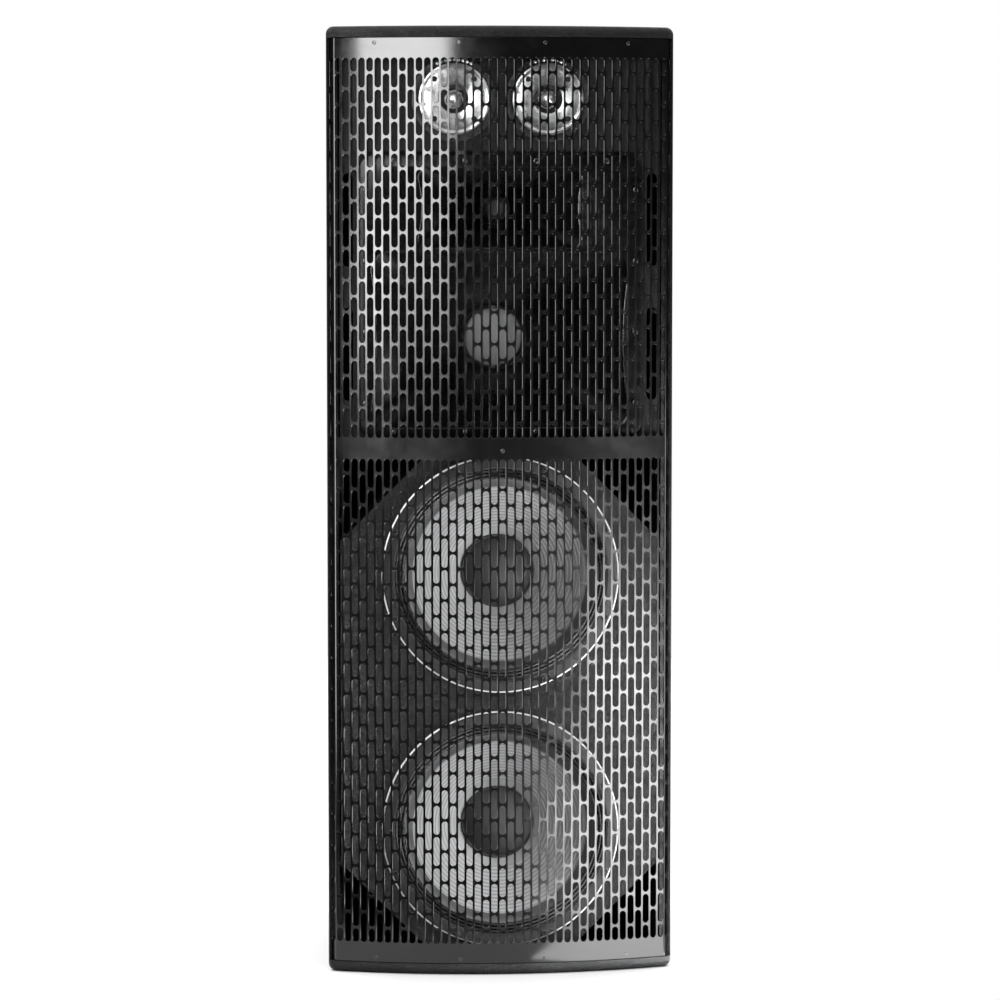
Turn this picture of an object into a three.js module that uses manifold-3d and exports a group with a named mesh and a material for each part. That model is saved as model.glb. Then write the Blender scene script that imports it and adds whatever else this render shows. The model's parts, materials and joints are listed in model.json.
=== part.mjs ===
// Tall full-range loudspeaker cabinet: a tapered plywood box with a bowed perforated
// front, two large woofers behind a baffle with corner ports, a moulded double horn
// with its midrange and treble drivers, and a pair of bullet tweeters at the top.
//
// Millimetres. X is the width, Y the depth with the front facing -Y, and Z the height
// above the resting face. Depths are counted back from the middle of the bowed front.
import * as THREE from 'three';
import { mergeVertices } from 'three/addons/utils/BufferGeometryUtils.js';
import Module from 'manifold-3d';

const wasm = await Module();
wasm.setup();

const { degToRad } = THREE.MathUtils;

// Driving dimensions of the cabinet.
const WIDTH = 560;
const HEIGHT = 1530;
const DEPTH = 600;
const BOW_RADIUS = 803.5;
const TAPER = degToRad(10);
const PANEL = 18;
const CORNER = 16;
const ROUNDOVER = 12;
const GAP = 0.3;
const BAFFLE_DEPTH = 56;
const BAFFLE_HALF_WIDTH = 259;
const DIVIDER_Z = 845;
const TOP_RAIL_Z = 1496;
const BOTTOM_RAIL_Z = 34;

// Driving dimensions of what the cabinet carries.
const WOOFER_HEIGHTS = { upper: 647, lower: 231 };
const HORN = { z: 1097.3, half: 229, corner: 27, front: 48 };
const MID = { z: 1027, halfWidth: 206.7, halfHeight: 141, corner: 29, pinch: 9 };
const HIGH = { z: 1240, halfWidth: 130.7, halfHeight: 64, corner: 16, pinch: 6 };
const TWEETER = { x: 75.5, z: 1414 };
const PORT_REACH = 314;
const HANDLE = { y: 60, heights: { upper: 1160, lower: 420 }, length: 168, height: 108, depth: 66, corner: 18 };
const INPUT = { z: 330, halfWidth: 100, halfHeight: 70, recess: 22 };

const FRONT = -DEPTH / 2;
const REAR = DEPTH / 2;
const INSIDE = PANEL + GAP;
const FLOOR_Z = INSIDE;
const CEILING_Z = HEIGHT - INSIDE;
const RIGHT_ANGLE = Math.PI / 2;
const SIDES = { left: -1, right: 1 };

// Facets round a full turn.
const LARGE_TURN = 24;
const SMALL_TURN = 16;

const FINISHES = {
  texturedPaint: { color: 0x18191b, roughness: 0.8, metalness: 0 },
  satinSteel: { color: 0x101113, roughness: 0.38, metalness: 0.8 },
  blackPlastic: { color: 0x0c0c0d, roughness: 0.35, metalness: 0 },
  plywood: { color: 0x8a6a48, roughness: 0.8, metalness: 0 },
  castMetal: { color: 0x1b1c1e, roughness: 0.5, metalness: 0.6 },
  silver: { color: 0xc9ccd0, roughness: 0.2, metalness: 1 },
  paperCone: { color: 0x77797c, roughness: 0.9, metalness: 0 },
  blackCloth: { color: 0x0e0e0f, roughness: 0.9, metalness: 0 },
  greyFelt: { color: 0x8b8c8e, roughness: 0.95, metalness: 0 },
  ferrite: { color: 0x2a2b2d, roughness: 0.6, metalness: 0.3 },
  copper: { color: 0x9a6238, roughness: 0.4, metalness: 0.9 },
  titanium: { color: 0xa4a6aa, roughness: 0.3, metalness: 1 },
  circuitBoard: { color: 0x1f4a33, roughness: 0.6, metalness: 0 },
};

const cabinet = new THREE.Group();

function addPart(name, geometry, finish, parent = cabinet) {
  const mesh = new THREE.Mesh(geometry, new THREE.MeshStandardMaterial(FINISHES[finish]));
  mesh.name = name;
  parent.add(mesh);
  return mesh;
}

// ---- Solid helpers ----

function signedVolume(geometry) {
  const { array } = geometry.attributes.position;
  const corners = [new THREE.Vector3(), new THREE.Vector3(), new THREE.Vector3()];
  let volume = 0;
  for (let i = 0; i < geometry.index.count; i += 3) {
    corners.forEach((corner, k) => corner.fromArray(array, 3 * geometry.index.getX(i + k)));
    volume += corners[0].dot(corners[1].cross(corners[2]));
  }
  return volume;
}

// Shares equal vertices, drops triangles that shrink to a line and turns faces outwards.
function closed(geometry) {
  const bare = geometry.clone();
  bare.deleteAttribute('normal');
  bare.deleteAttribute('uv');
  const merged = mergeVertices(bare, 1e-3);
  const kept = [];
  for (let i = 0; i < merged.index.count; i += 3) {
    const triangle = [0, 1, 2].map((k) => merged.index.getX(i + k));
    if (new Set(triangle).size === 3) kept.push(triangle);
  }
  merged.setIndex(kept.flat());
  if (signedVolume(merged) < 0) merged.setIndex(kept.flatMap((triangle) => triangle.reverse()));
  merged.computeVertexNormals();
  return merged;
}

function toManifold(geometry) {
  const { attributes, index } = closed(geometry);
  return new wasm.Manifold(new wasm.Mesh({
    numProp: 3,
    vertProperties: new Float32Array(attributes.position.array),
    triVerts: new Uint32Array(index.array),
  }));
}

// Joins the first list of geometries, cuts the second list away from them.
function carve(joined, cut) {
  let body = joined.map(toManifold).reduce((a, b) => a.add(b));
  for (const tool of cut) body = body.subtract(toManifold(tool));
  return fromManifold(body);
}

function fromManifold(body) {
  const { vertProperties, triVerts } = body.getMesh();
  const geometry = new THREE.BufferGeometry();
  geometry.setAttribute('position', new THREE.BufferAttribute(vertProperties, 3));
  geometry.setIndex(new THREE.BufferAttribute(triVerts, 1));
  geometry.computeVertexNormals();
  return geometry;
}

function arc(centre, radius, from, to, steps) {
  return Array.from({ length: steps + 1 }, (_, i) => {
    const angle = from + (to - from) * (i / steps);
    return new THREE.Vector2(centre.x + radius * Math.cos(angle), centre.y + radius * Math.sin(angle));
  });
}

function circle(x, y, radius, segments) {
  return arc(new THREE.Vector2(x, y), radius, 0, 2 * Math.PI, segments).slice(0, -1);
}

function roundedRectangle(x, y, halfWidth, halfHeight, radius, steps = 3) {
  const dx = halfWidth - radius;
  const dy = halfHeight - radius;
  return [[1, -1], [1, 1], [-1, 1], [-1, -1]].flatMap(([sx, sy], i) => {
    const centre = new THREE.Vector2(x + sx * dx, y + sy * dy);
    return arc(centre, radius, (i - 1) * RIGHT_ANGLE, i * RIGHT_ANGLE, steps);
  });
}

function rectangle(x, y, halfWidth, halfHeight) {
  return [[1, -1], [1, 1], [-1, 1], [-1, -1]].map(
    ([sx, sy]) => new THREE.Vector2(x + sx * halfWidth, y + sy * halfHeight),
  );
}

function mirroredX(points) {
  return points.map((point) => new THREE.Vector2(-point.x, point.y)).reverse();
}

function extruded(outline, holes, thickness) {
  const shape = new THREE.Shape(outline);
  shape.holes = holes.map((hole) => new THREE.Path(hole));
  return new THREE.ExtrudeGeometry(shape, { depth: thickness, bevelEnabled: false });
}

// A board whose outline lies in plan, from one height to another.
function deck(outline, lowZ, highZ) {
  return closed(extruded(outline, [], highZ - lowZ).translate(0, 0, lowZ));
}

// A board whose outline, in X and Z, faces the front, from one depth to another.
function board(outline, holes, frontDepth, backDepth) {
  const flat = extruded(outline, holes, backDepth - frontDepth).rotateX(RIGHT_ANGLE);
  return closed(flat.translate(0, FRONT + backDepth, 0));
}

// A body of revolution about the depth axis, from [radius, depth] points.
function turned(profile, segments) {
  const points = profile.map(([radius, depth]) => new THREE.Vector2(radius, FRONT + depth));
  const endsOnAxis = profile[0][0] === 0 && profile.at(-1)[0] === 0;
  if (!endsOnAxis) points.push(points[0].clone());
  return closed(new THREE.LatheGeometry(points, segments));
}

function block(sizeX, sizeY, sizeZ, x, y, z) {
  return closed(new THREE.BoxGeometry(sizeX, sizeY, sizeZ).translate(x, y, z));
}

// A closed body through outlines of equal point count, stacked at the given levels of Z.
function loft(outlines, levels) {
  const count = outlines[0].length;
  const positions = outlines.flatMap((outline, k) => outline.flatMap(({ x, y }) => [x, y, levels[k]]));
  const cap = THREE.ShapeUtils.triangulateShape(outlines[0], []);
  const last = count * (outlines.length - 1);
  const index = cap.flatMap(([a, b, c]) => [c, b, a, last + a, last + b, last + c]);
  for (let start = 0; start < last; start += count) {
    for (let i = 0; i < count; i += 1) {
      const a = start + i;
      const b = start + (i + 1) % count;
      index.push(a, b, b + count, a, b + count, a + count);
    }
  }
  const geometry = new THREE.BufferGeometry();
  geometry.setAttribute('position', new THREE.Float32BufferAttribute(positions, 3));
  geometry.setIndex(index);
  return closed(geometry);
}

// ---- Cabinet plan ----

const bowCentre = new THREE.Vector2(0, FRONT + BOW_RADIUS);
const frontCornerX = WIDTH / 2 - CORNER;
const frontCorner = new THREE.Vector2(
  frontCornerX,
  bowCentre.y - Math.sqrt((BOW_RADIUS - CORNER) ** 2 - frontCornerX ** 2),
);
const bowEnd = Math.asin(frontCornerX / (BOW_RADIUS - CORNER));
const sideNormal = new THREE.Vector2(Math.cos(TAPER), Math.sin(TAPER));
const sideReach = sideNormal.dot(frontCorner) + CORNER;

// X of the right side face, moved inwards by inset, at depth coordinate y.
function sideX(inset, y) {
  return (sideReach - inset - sideNormal.y * y) / sideNormal.x;
}

const rearCorner = new THREE.Vector2(sideX(CORNER, REAR - CORNER), REAR - CORNER);

function bowArc(inset, halfWidth, steps) {
  const radius = BOW_RADIUS - inset;
  const end = Math.asin(halfWidth / radius);
  return arc(bowCentre, radius, -RIGHT_ANGLE - end, -RIGHT_ANGLE + end, steps);
}

function cabinetOutline(inset) {
  const radius = CORNER - inset;
  const rightHalf = [
    ...arc(bowCentre, BOW_RADIUS - inset, -RIGHT_ANGLE, -RIGHT_ANGLE + bowEnd, 8),
    ...arc(frontCorner, radius, -RIGHT_ANGLE + bowEnd, TAPER, 3).slice(1),
    ...arc(rearCorner, radius, TAPER, RIGHT_ANGLE, 3),
  ];
  return [...rightHalf, ...mirroredX(rightHalf).slice(0, -1)];
}

// Plan of a board that fills the box behind the given front edge, in Y.
function interiorPlan(frontY, backY) {
  return [
    new THREE.Vector2(sideX(INSIDE, frontY), frontY),
    new THREE.Vector2(sideX(INSIDE, backY), backY),
    new THREE.Vector2(-sideX(INSIDE, backY), backY),
    new THREE.Vector2(-sideX(INSIDE, frontY), frontY),
  ];
}

// ---- Cabinet boards ----

// Top or bottom board: the full plan with its outer edge rounded over.
function capBoard(name, innerZ, direction) {
  const steps = 3;
  const insets = [0];
  const levels = [innerZ];
  for (let i = 0; i <= steps; i += 1) {
    const angle = RIGHT_ANGLE * (i / steps);
    insets.push(ROUNDOVER * (1 - Math.cos(angle)));
    levels.push(innerZ + direction * (PANEL - ROUNDOVER + ROUNDOVER * Math.sin(angle)));
  }
  addPart(name, loft(insets.map(cabinetOutline), levels), 'texturedPaint');
}

// Matrix that carries a fitting from its own frame, X outwards, onto a side board.
function onSide(side, y, z) {
  const surface = new THREE.Vector3(SIDES[side] * sideX(0, y), y, z);
  const turn = side === 'right' ? TAPER : Math.PI - TAPER;
  return new THREE.Matrix4().makeRotationZ(turn).setPosition(surface);
}

// A rounded block in a side fitting's own frame, as long as the handle pocket plus a margin.
function pocketBlock(margin, lowX, highX) {
  const outline = roundedRectangle(
    0, 0, HANDLE.length / 2 + margin, HANDLE.height / 2 + margin, HANDLE.corner + margin,
  );
  const flat = extruded(outline, [], highX - lowX).translate(0, 0, lowX);
  return flat.rotateX(RIGHT_ANGLE).rotateZ(RIGHT_ANGLE);
}

function handleHole(side, z) {
  return pocketBlock(2, -2 * PANEL, PANEL).applyMatrix4(onSide(side, HANDLE.y, z));
}

// Side board: its front edge is rebated, so a thin lip stands beside the grille.
function sideBoard(side) {
  const lip = 4;
  const rebateY = FRONT + BAFFLE_DEPTH + 6;
  const noseAngle = degToRad(-25);
  const plan = [
    ...arc(frontCorner, CORNER, noseAngle, TAPER, 3),
    ...arc(rearCorner, CORNER, TAPER, RIGHT_ANGLE, 3),
    new THREE.Vector2(sideX(PANEL, REAR), REAR),
    new THREE.Vector2(sideX(PANEL, rebateY), rebateY),
    new THREE.Vector2(sideX(lip, rebateY), rebateY),
    ...arc(frontCorner, CORNER - lip, noseAngle, TAPER, 2).reverse().slice(1),
  ];
  const outline = side === 'right' ? plan : mirroredX(plan);
  const holes = Object.values(HANDLE.heights).map((z) => handleHole(side, z));
  addPart(`${side}_side_panel`, carve([deck(outline, FLOOR_Z, CEILING_Z)], holes), 'texturedPaint');
}

function rearBoard() {
  const rebate = 2.3;
  const clearance = 1;
  const seatWidth = 14;
  const body = deck(interiorPlan(REAR - PANEL, REAR), FLOOR_Z, CEILING_Z);
  const opening = block(
    2 * (INPUT.halfWidth - seatWidth), 4 * PANEL, 2 * (INPUT.halfHeight - seatWidth), 0, REAR, INPUT.z,
  );
  const seat = block(
    2 * (INPUT.halfWidth + clearance), 2 * rebate, 2 * (INPUT.halfHeight + clearance), 0, REAR, INPUT.z,
  );
  addPart('rear_panel', carve([body], [opening, seat]), 'texturedPaint');
}

const GRILLE = { setBack: 1, thickness: 1.6, bendX: 266.5, flange: 16, flangeAngle: degToRad(58) };
const railInset = GRILLE.setBack + GRILLE.thickness + GAP;

// The shelf between the bass and horn sections reaches forward to carry the grille.
function divider() {
  const backY = REAR - INSIDE;
  const front = bowArc(railInset, BAFFLE_HALF_WIDTH, 14);
  const baffleBack = FRONT + BAFFLE_DEPTH + PANEL;
  const plan = [
    ...front,
    new THREE.Vector2(BAFFLE_HALF_WIDTH, baffleBack),
    new THREE.Vector2(sideX(INSIDE, backY), backY),
    new THREE.Vector2(-sideX(INSIDE, backY), backY),
    new THREE.Vector2(-BAFFLE_HALF_WIDTH, baffleBack),
  ];
  addPart('section_divider', deck(plan, DIVIDER_Z, DIVIDER_Z + PANEL), 'texturedPaint');
}

function grilleRail(name, lowZ, highZ) {
  const halfLength = 235;
  const thickness = 14;
  const plan = [
    ...bowArc(railInset, halfLength, 14),
    ...bowArc(railInset + thickness, halfLength, 14).reverse(),
  ];
  addPart(name, deck(plan, lowZ, highZ), 'texturedPaint');
}

// Bass baffle: its four corners are cut off at 45 degrees to make the bass ports.
function bassBaffle() {
  const cutRadius = 176;
  const low = FLOOR_Z;
  const high = DIVIDER_Z - GAP;
  const x = BAFFLE_HALF_WIDTH;
  const upperReach = WOOFER_HEIGHTS.upper + PORT_REACH;
  const lowerReach = WOOFER_HEIGHTS.lower - PORT_REACH;
  const rightHalf = [
    new THREE.Vector2(low - lowerReach, low),
    new THREE.Vector2(x, lowerReach + x),
    new THREE.Vector2(x, upperReach - x),
    new THREE.Vector2(upperReach - high, high),
  ];
  const holes = Object.values(WOOFER_HEIGHTS).map((z) => circle(0, z, cutRadius, LARGE_TURN));
  const outline = [...rightHalf, ...mirroredX(rightHalf)];
  const geometry = board(outline, holes, BAFFLE_DEPTH, BAFFLE_DEPTH + PANEL);
  addPart('lf_baffle', geometry, 'texturedPaint');
}

// The sloping board behind each cut corner, trimmed to the inside of the box.
function portBoards() {
  const thickness = 12;
  const backDepth = 240;
  const frontDepth = BAFFLE_DEPTH + PANEL + GAP;
  const far = PORT_REACH;
  const trim = deck(interiorPlan(FRONT + BAFFLE_DEPTH, REAR - INSIDE), FLOOR_Z, DIVIDER_Z - GAP);
  for (const [level, centreZ] of Object.entries(WOOFER_HEIGHTS)) {
    for (const [side, sign] of Object.entries(SIDES)) {
      const rise = level === 'upper' ? 1 : -1;
      const inner = far - thickness * Math.SQRT2;
      const outline = [[far, 0], [0, far], [0, inner], [inner, 0]].map(
        ([across, along]) => new THREE.Vector2(sign * across, centreZ + rise * along),
      );
      const slab = toManifold(board(outline, [], frontDepth, backDepth));
      addPart(`port_board_${level}_${side}`, fromManifold(slab.intersect(toManifold(trim))), 'plywood');
    }
  }
}

// Horn baffle: one large opening for the horn, two for the tweeters and four slot vents.
function hornBaffle() {
  const opening = { halfWidth: 213, halfHeight: 216, corner: 12 };
  const vent = { x: 245.7, heights: [1004.5, 1220.5], halfWidth: 8.2, halfHeight: 75.5, corner: 8 };
  const tweeterCut = 52;
  const low = DIVIDER_Z + PANEL + GAP;
  const outline = rectangle(0, (low + CEILING_Z) / 2, BAFFLE_HALF_WIDTH, (CEILING_Z - low) / 2);
  const holes = [roundedRectangle(0, HORN.z, opening.halfWidth, opening.halfHeight, opening.corner)];
  for (const sign of Object.values(SIDES)) {
    holes.push(circle(sign * TWEETER.x, TWEETER.z, tweeterCut, SMALL_TURN));
    for (const z of vent.heights) {
      holes.push(roundedRectangle(sign * vent.x, z, vent.halfWidth, vent.halfHeight, vent.corner, 2));
    }
  }
  const geometry = board(outline, holes, BAFFLE_DEPTH, BAFFLE_DEPTH + PANEL);
  addPart('horn_baffle', geometry, 'texturedPaint');
}

function tweeterBaffle() {
  const plate = { z: 1413, halfWidth: 238, halfHeight: 82, corner: 3, depth: 42 };
  const cutRadius = 51.5;
  const outline = roundedRectangle(0, plate.z, plate.halfWidth, plate.halfHeight, plate.corner, 1);
  const holes = Object.values(SIDES).map((sign) => circle(sign * TWEETER.x, TWEETER.z, cutRadius, SMALL_TURN));
  addPart('tweeter_baffle', board(outline, holes, plate.depth, BAFFLE_DEPTH - GAP), 'texturedPaint');
}

// ---- Grille ----

// One bowed sheet, folded back along both sides.
function grille() {
  const { setBack, thickness, bendX, flange, flangeAngle } = GRILLE;
  const steps = 24;
  const front = bowArc(setBack, bendX, steps);
  const back = bowArc(setBack + thickness, bendX, steps).slice(1, -1);
  const bend = front.at(-1);
  const bowSlope = Math.asin(bendX / (BOW_RADIUS - setBack));
  const meanSlope = (bowSlope + flangeAngle) / 2;
  const mitre = thickness / Math.cos((flangeAngle - bowSlope) / 2);
  const tip = bend.clone().add(
    new THREE.Vector2(Math.cos(flangeAngle), Math.sin(flangeAngle)).multiplyScalar(flange),
  );
  const innerTip = tip.clone().add(
    new THREE.Vector2(-Math.sin(flangeAngle), Math.cos(flangeAngle)).multiplyScalar(thickness),
  );
  const innerBend = bend.clone().add(
    new THREE.Vector2(-Math.sin(meanSlope), Math.cos(meanSlope)).multiplyScalar(mitre),
  );
  const rightEdge = [tip, innerTip, innerBend];
  const plan = [...front, ...rightEdge, ...back.reverse(), ...mirroredX(rightEdge)];
  addPart('grille', deck(plan, FLOOR_Z + 1, CEILING_Z - 1), 'satinSteel');
}

// ---- Woofers ----

// Depth of the cone's front face at a radius: slightly curved, deepest at the neck.
function coneDepth(radius) {
  const rim = { radius: 156, depth: 54 };
  const neck = { radius: 51.5, depth: 131 };
  const share = (rim.radius - radius) / (rim.radius - neck.radius);
  return rim.depth + (neck.depth - rim.depth) * share ** 0.92;
}

function wooferFrame(name, parent) {
  const basket = turned([
    [194.4, 49], [194.4, 55.7], [173, 55.7], [170, 78], [100, 150], [100, 158], [60, 158],
    [60, 152.5], [94, 152.5], [96, 148], [163, 77], [165, 54.5], [172, 52.5], [172, 49],
  ], LARGE_TURN);
  const windows = [];
  const windowCount = 6;
  const window = { width: 74, depth: 54, height: 90, centreDepth: 113, centreRadius: 150 };
  for (let i = 0; i < windowCount; i += 1) {
    const angle = (i + 0.5) * (2 * Math.PI / windowCount);
    const cutter = new THREE.BoxGeometry(window.width, window.depth, window.height);
    cutter.translate(0, FRONT + window.centreDepth, window.centreRadius);
    windows.push(cutter.rotateY(angle));
  }
  addPart(`${name}_frame`, carve([basket], windows), 'castMetal', parent);
}

function wooferSurround(name, parent) {
  const front = [[156.4, 51], [160, 48.5], [164, 51], [171.7, 51]];
  const back = front.map(([radius, depth]) => [radius, depth + 1.2]).reverse();
  addPart(`${name}_surround`, turned([...front, ...back], LARGE_TURN), 'blackCloth', parent);
}

function wooferCone(name, parent) {
  const thickness = 1.5;
  const radii = [156, 130, 100, 72, 51.5];
  const front = radii.map((radius) => [radius, coneDepth(radius)]);
  const back = front.map(([radius, depth]) => [radius, depth + thickness]).reverse();
  addPart(`${name}_cone`, turned([...front, ...back], LARGE_TURN), 'paperCone', parent);
}

function wooferDustCap(name, parent) {
  const rim = { radius: 56, depth: 125 };
  const apexDepth = 101;
  const thickness = 1.5;
  const steps = 3;
  const dome = (offset) => Array.from({ length: steps + 1 }, (_, i) => {
    const share = i / steps;
    return [rim.radius * share, apexDepth + offset + (rim.depth - apexDepth) * share ** 2];
  });
  const profile = [...dome(0), ...dome(thickness).reverse()];
  addPart(`${name}_dust_cap`, turned(profile, SMALL_TURN), 'blackCloth', parent);
}

function wooferSpider(name, parent) {
  const front = [[51.5, 148], [65, 150], [79, 147.5], [92.8, 149.5]];
  const back = front.map(([radius, depth]) => [radius, depth + 1]).reverse();
  addPart(`${name}_spider`, turned([...front, ...back], SMALL_TURN), 'blackCloth', parent);
}

function wooferMotor(name, parent) {
  addPart(`${name}_voice_coil`, turned([[49.6, 132], [50.8, 132], [50.8, 182], [49.6, 182]], SMALL_TURN),
    'copper', parent);
  addPart(`${name}_magnet`, turned([
    [52.5, 158.3], [90, 158.3], [90, 168], [100, 168], [100, 196], [90, 196], [90, 208],
    [15, 208], [15, 161], [48, 161], [48, 195], [52.5, 195],
  ], SMALL_TURN), 'ferrite', parent);
}

function woofer(level) {
  const name = `lf_${level}`;
  const group = new THREE.Group();
  group.position.z = WOOFER_HEIGHTS[level];
  cabinet.add(group);
  wooferFrame(name, group);
  addPart(`${name}_gasket`, turned([[174, 46.5], [190, 46.5], [190, 48.7], [174, 48.7]], LARGE_TURN),
    'blackCloth', group);
  wooferSurround(name, group);
  wooferCone(name, group);
  wooferDustCap(name, group);
  wooferSpider(name, group);
  wooferMotor(name, group);
}

// ---- Horn, midrange driver and treble driver ----

const MID_THROAT = { radius: 52, depth: 230 };
const HIGH_THROAT = { radius: 18.5, depth: 168 };

// Cross-section of a horn: a rounded rectangle whose upright sides curve inwards.
function hornSection(z, halfWidth, halfHeight, corner, pinch) {
  const dx = halfWidth - corner;
  const dy = halfHeight - corner;
  const sidePoints = (sign) => [-0.5, 0, 0.5].map((share) => {
    const x = sign * (halfWidth - pinch * (1 - share ** 2));
    return new THREE.Vector2(x, z + sign * share * dy);
  });
  const cornerArc = (sx, sy, quarter) => {
    const centre = new THREE.Vector2(sx * dx, z + sy * dy);
    return arc(centre, corner, (quarter - 1) * RIGHT_ANGLE, quarter * RIGHT_ANGLE, 3);
  };
  return [
    ...cornerArc(1, -1, 0), ...sidePoints(1), ...cornerArc(1, 1, 1),
    ...cornerArc(-1, 1, 2), ...sidePoints(-1), ...cornerArc(-1, -1, 3),
  ];
}

// A solid that fills a horn from mouth to throat, grown outwards by wall.
function hornBody(mouth, throat, wall, frontDepth, backDepth) {
  const steps = 3;
  const outlines = [];
  const levels = [];
  const throatCorner = 0.9 * throat.radius;
  const mix = (mouthValue, throatValue, share) => throatValue + (mouthValue - throatValue) * share;
  for (let i = 0; i <= steps; i += 1) {
    const openness = 1 - i / steps;
    const share = 0.72 * openness + 0.28 * openness ** 3;
    outlines.push(hornSection(
      mouth.z,
      mix(mouth.halfWidth, throat.radius, share) + wall,
      mix(mouth.halfHeight, throat.radius, share) + wall,
      mix(mouth.corner, throatCorner, openness) + wall,
      mouth.pinch * share,
    ));
    levels.push(-(FRONT + frontDepth + (backDepth - frontDepth) * (i / steps)));
  }
  return closed(loft(outlines, levels).rotateX(RIGHT_ANGLE));
}

function hornMoulding() {
  const wall = 3.5;
  const plateBack = BAFFLE_DEPTH - GAP;
  const plate = board(
    roundedRectangle(0, HORN.z, HORN.half, HORN.half, HORN.corner), [], HORN.front, plateBack,
  );
  const throatPlate = (radius, bore, depth, z) => turned(
    [[bore, depth - 6], [radius, depth - 6], [radius, depth], [bore, depth]], 20,
  ).translate(0, 0, z);
  const joined = [plate];
  const cut = [];
  for (const [mouth, throat] of [[MID, MID_THROAT], [HIGH, HIGH_THROAT]]) {
    joined.push(hornBody(mouth, throat, wall, plateBack - 1, throat.depth));
    cut.push(hornBody(mouth, throat, 0, HORN.front - 0.01, throat.depth + 0.01));
  }
  joined.push(throatPlate(108, MID_THROAT.radius + 1, MID_THROAT.depth, MID.z));
  joined.push(throatPlate(44, HIGH_THROAT.radius + 1, HIGH_THROAT.depth, HIGH.z));
  addPart('horn_moulding', carve(joined, cut), 'blackPlastic');
}

function midrangeDriver() {
  const group = new THREE.Group();
  group.position.z = MID.z;
  cabinet.add(group);
  const ring = turned([[57, 230.3], [108, 230.3], [108, 233.7], [57, 233.7]], SMALL_TURN);
  const plug = turned([[0, 226], [47, 226], [48, 227], [48, 233.7], [0, 233.7]], SMALL_TURN);
  const spokes = [0, 1].map((i) => block(118, 3, 6, 0, FRONT + 232, 0).rotateY(i * RIGHT_ANGLE));
  addPart('mf_phase_plug', carve([ring, plug, ...spokes], []), 'greyFelt', group);
  addPart('mf_driver_frame', turned([
    [88, 234], [108, 234], [108, 240], [98, 240], [62, 288], [62, 294], [30, 294], [30, 290],
    [57, 290], [92, 242], [92, 240], [88, 238],
  ], SMALL_TURN), 'castMetal', group);
  addPart('mf_surround', turned([
    [78.4, 238.5], [83, 237], [87.6, 238.5], [87.6, 239.5], [83, 238], [78.4, 239.5],
  ], SMALL_TURN), 'blackCloth', group);
  addPart('mf_cone', turned([
    [78, 239.5], [50, 255], [26.6, 268], [0, 264], [0, 265.5], [25, 269.5], [25, 306],
    [26, 306], [26, 270.5], [50, 257], [78, 241.5],
  ].reverse(), 20), 'paperCone', group);
  addPart('mf_driver_magnet', turned([
    [28, 294.3], [70, 294.3], [70, 328], [8, 328], [8, 298], [23, 298], [23, 318], [28, 318],
  ], SMALL_TURN), 'ferrite', group);
}

function trebleDriver() {
  const group = new THREE.Group();
  group.position.z = HIGH.z;
  cabinet.add(group);
  addPart('hf_driver_body', turned([
    [18.5, 168.3], [56, 168.3], [56, 178], [82, 178], [82, 210], [56, 210], [56, 216],
    [46, 216], [46, 211], [40, 208],
  ], SMALL_TURN), 'ferrite', group);
  addPart('hf_phase_plug', turned([[0, 171], [13, 171], [33, 205], [0, 205]], SMALL_TURN), 'silver', group);
  addPart('hf_diaphragm', turned([
    [0, 221], [24, 217], [36, 211.6], [45, 211.6], [45, 212.4], [37, 212.4], [25, 218], [0, 222],
  ], SMALL_TURN), 'titanium', group);
  addPart('hf_driver_cap', turned([
    [0, 244], [54, 244], [60, 238], [60, 216.3], [57, 216.3], [57, 237], [53, 241], [0, 241],
  ], SMALL_TURN), 'castMetal', group);
}

// ---- Bullet tweeters ----

function bulletTweeter(side) {
  const name = `tweeter_${side}`;
  const group = new THREE.Group();
  group.position.set(SIDES[side] * TWEETER.x, 0, TWEETER.z);
  cabinet.add(group);
  addPart(`${name}_flange`, turned([[51, 36], [68, 36], [68, 41.7], [51, 41.7]], SMALL_TURN),
    'blackPlastic', group);
  addPart(`${name}_horn`, turned([
    [22, 34.5], [51, 32.5], [53, 30.3], [57.5, 30.3], [57.5, 35.7], [49.5, 35.7], [49.5, 60],
    [17, 60], [15, 48],
  ], LARGE_TURN), 'silver', group);
  addPart(`${name}_bullet`, turned([
    [0, 33], [6, 34.5], [10, 39], [11.3, 47], [10, 60], [10, 65.7], [0, 65.7],
  ], SMALL_TURN), 'silver', group);
  addPart(`${name}_diaphragm`, turned([[12, 62.5], [18, 62.5], [18, 63.3], [12, 63.3]], SMALL_TURN),
    'titanium', group);
  addPart(`${name}_motor`, turned([
    [0, 66], [20, 66], [20, 60.3], [45, 60.3], [45, 95], [0, 95],
  ], SMALL_TURN), 'ferrite', group);
}

// ---- Carrying handles, input plate and crossover ----

function handle(side, level) {
  const wall = 2.5;
  const lip = 14;
  const barRadius = 10;
  const face = GAP + 2;
  const plate = pocketBlock(lip, GAP, face);
  const shell = pocketBlock(0, face - HANDLE.depth, face);
  const hollow = pocketBlock(-wall, face - HANDLE.depth + wall, 2 * face);
  const barInset = 14;
  const bar = new THREE.CylinderGeometry(barRadius, barRadius, HANDLE.length - wall, 10);
  bar.translate(-barInset, 0, 0);
  const cup = toManifold(carve([plate, shell], [hollow])).add(toManifold(bar));
  const mesh = addPart(`handle_${level}_${side}`, fromManifold(cup), 'satinSteel');
  mesh.applyMatrix4(onSide(side, HANDLE.y, HANDLE.heights[level]));
}

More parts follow.
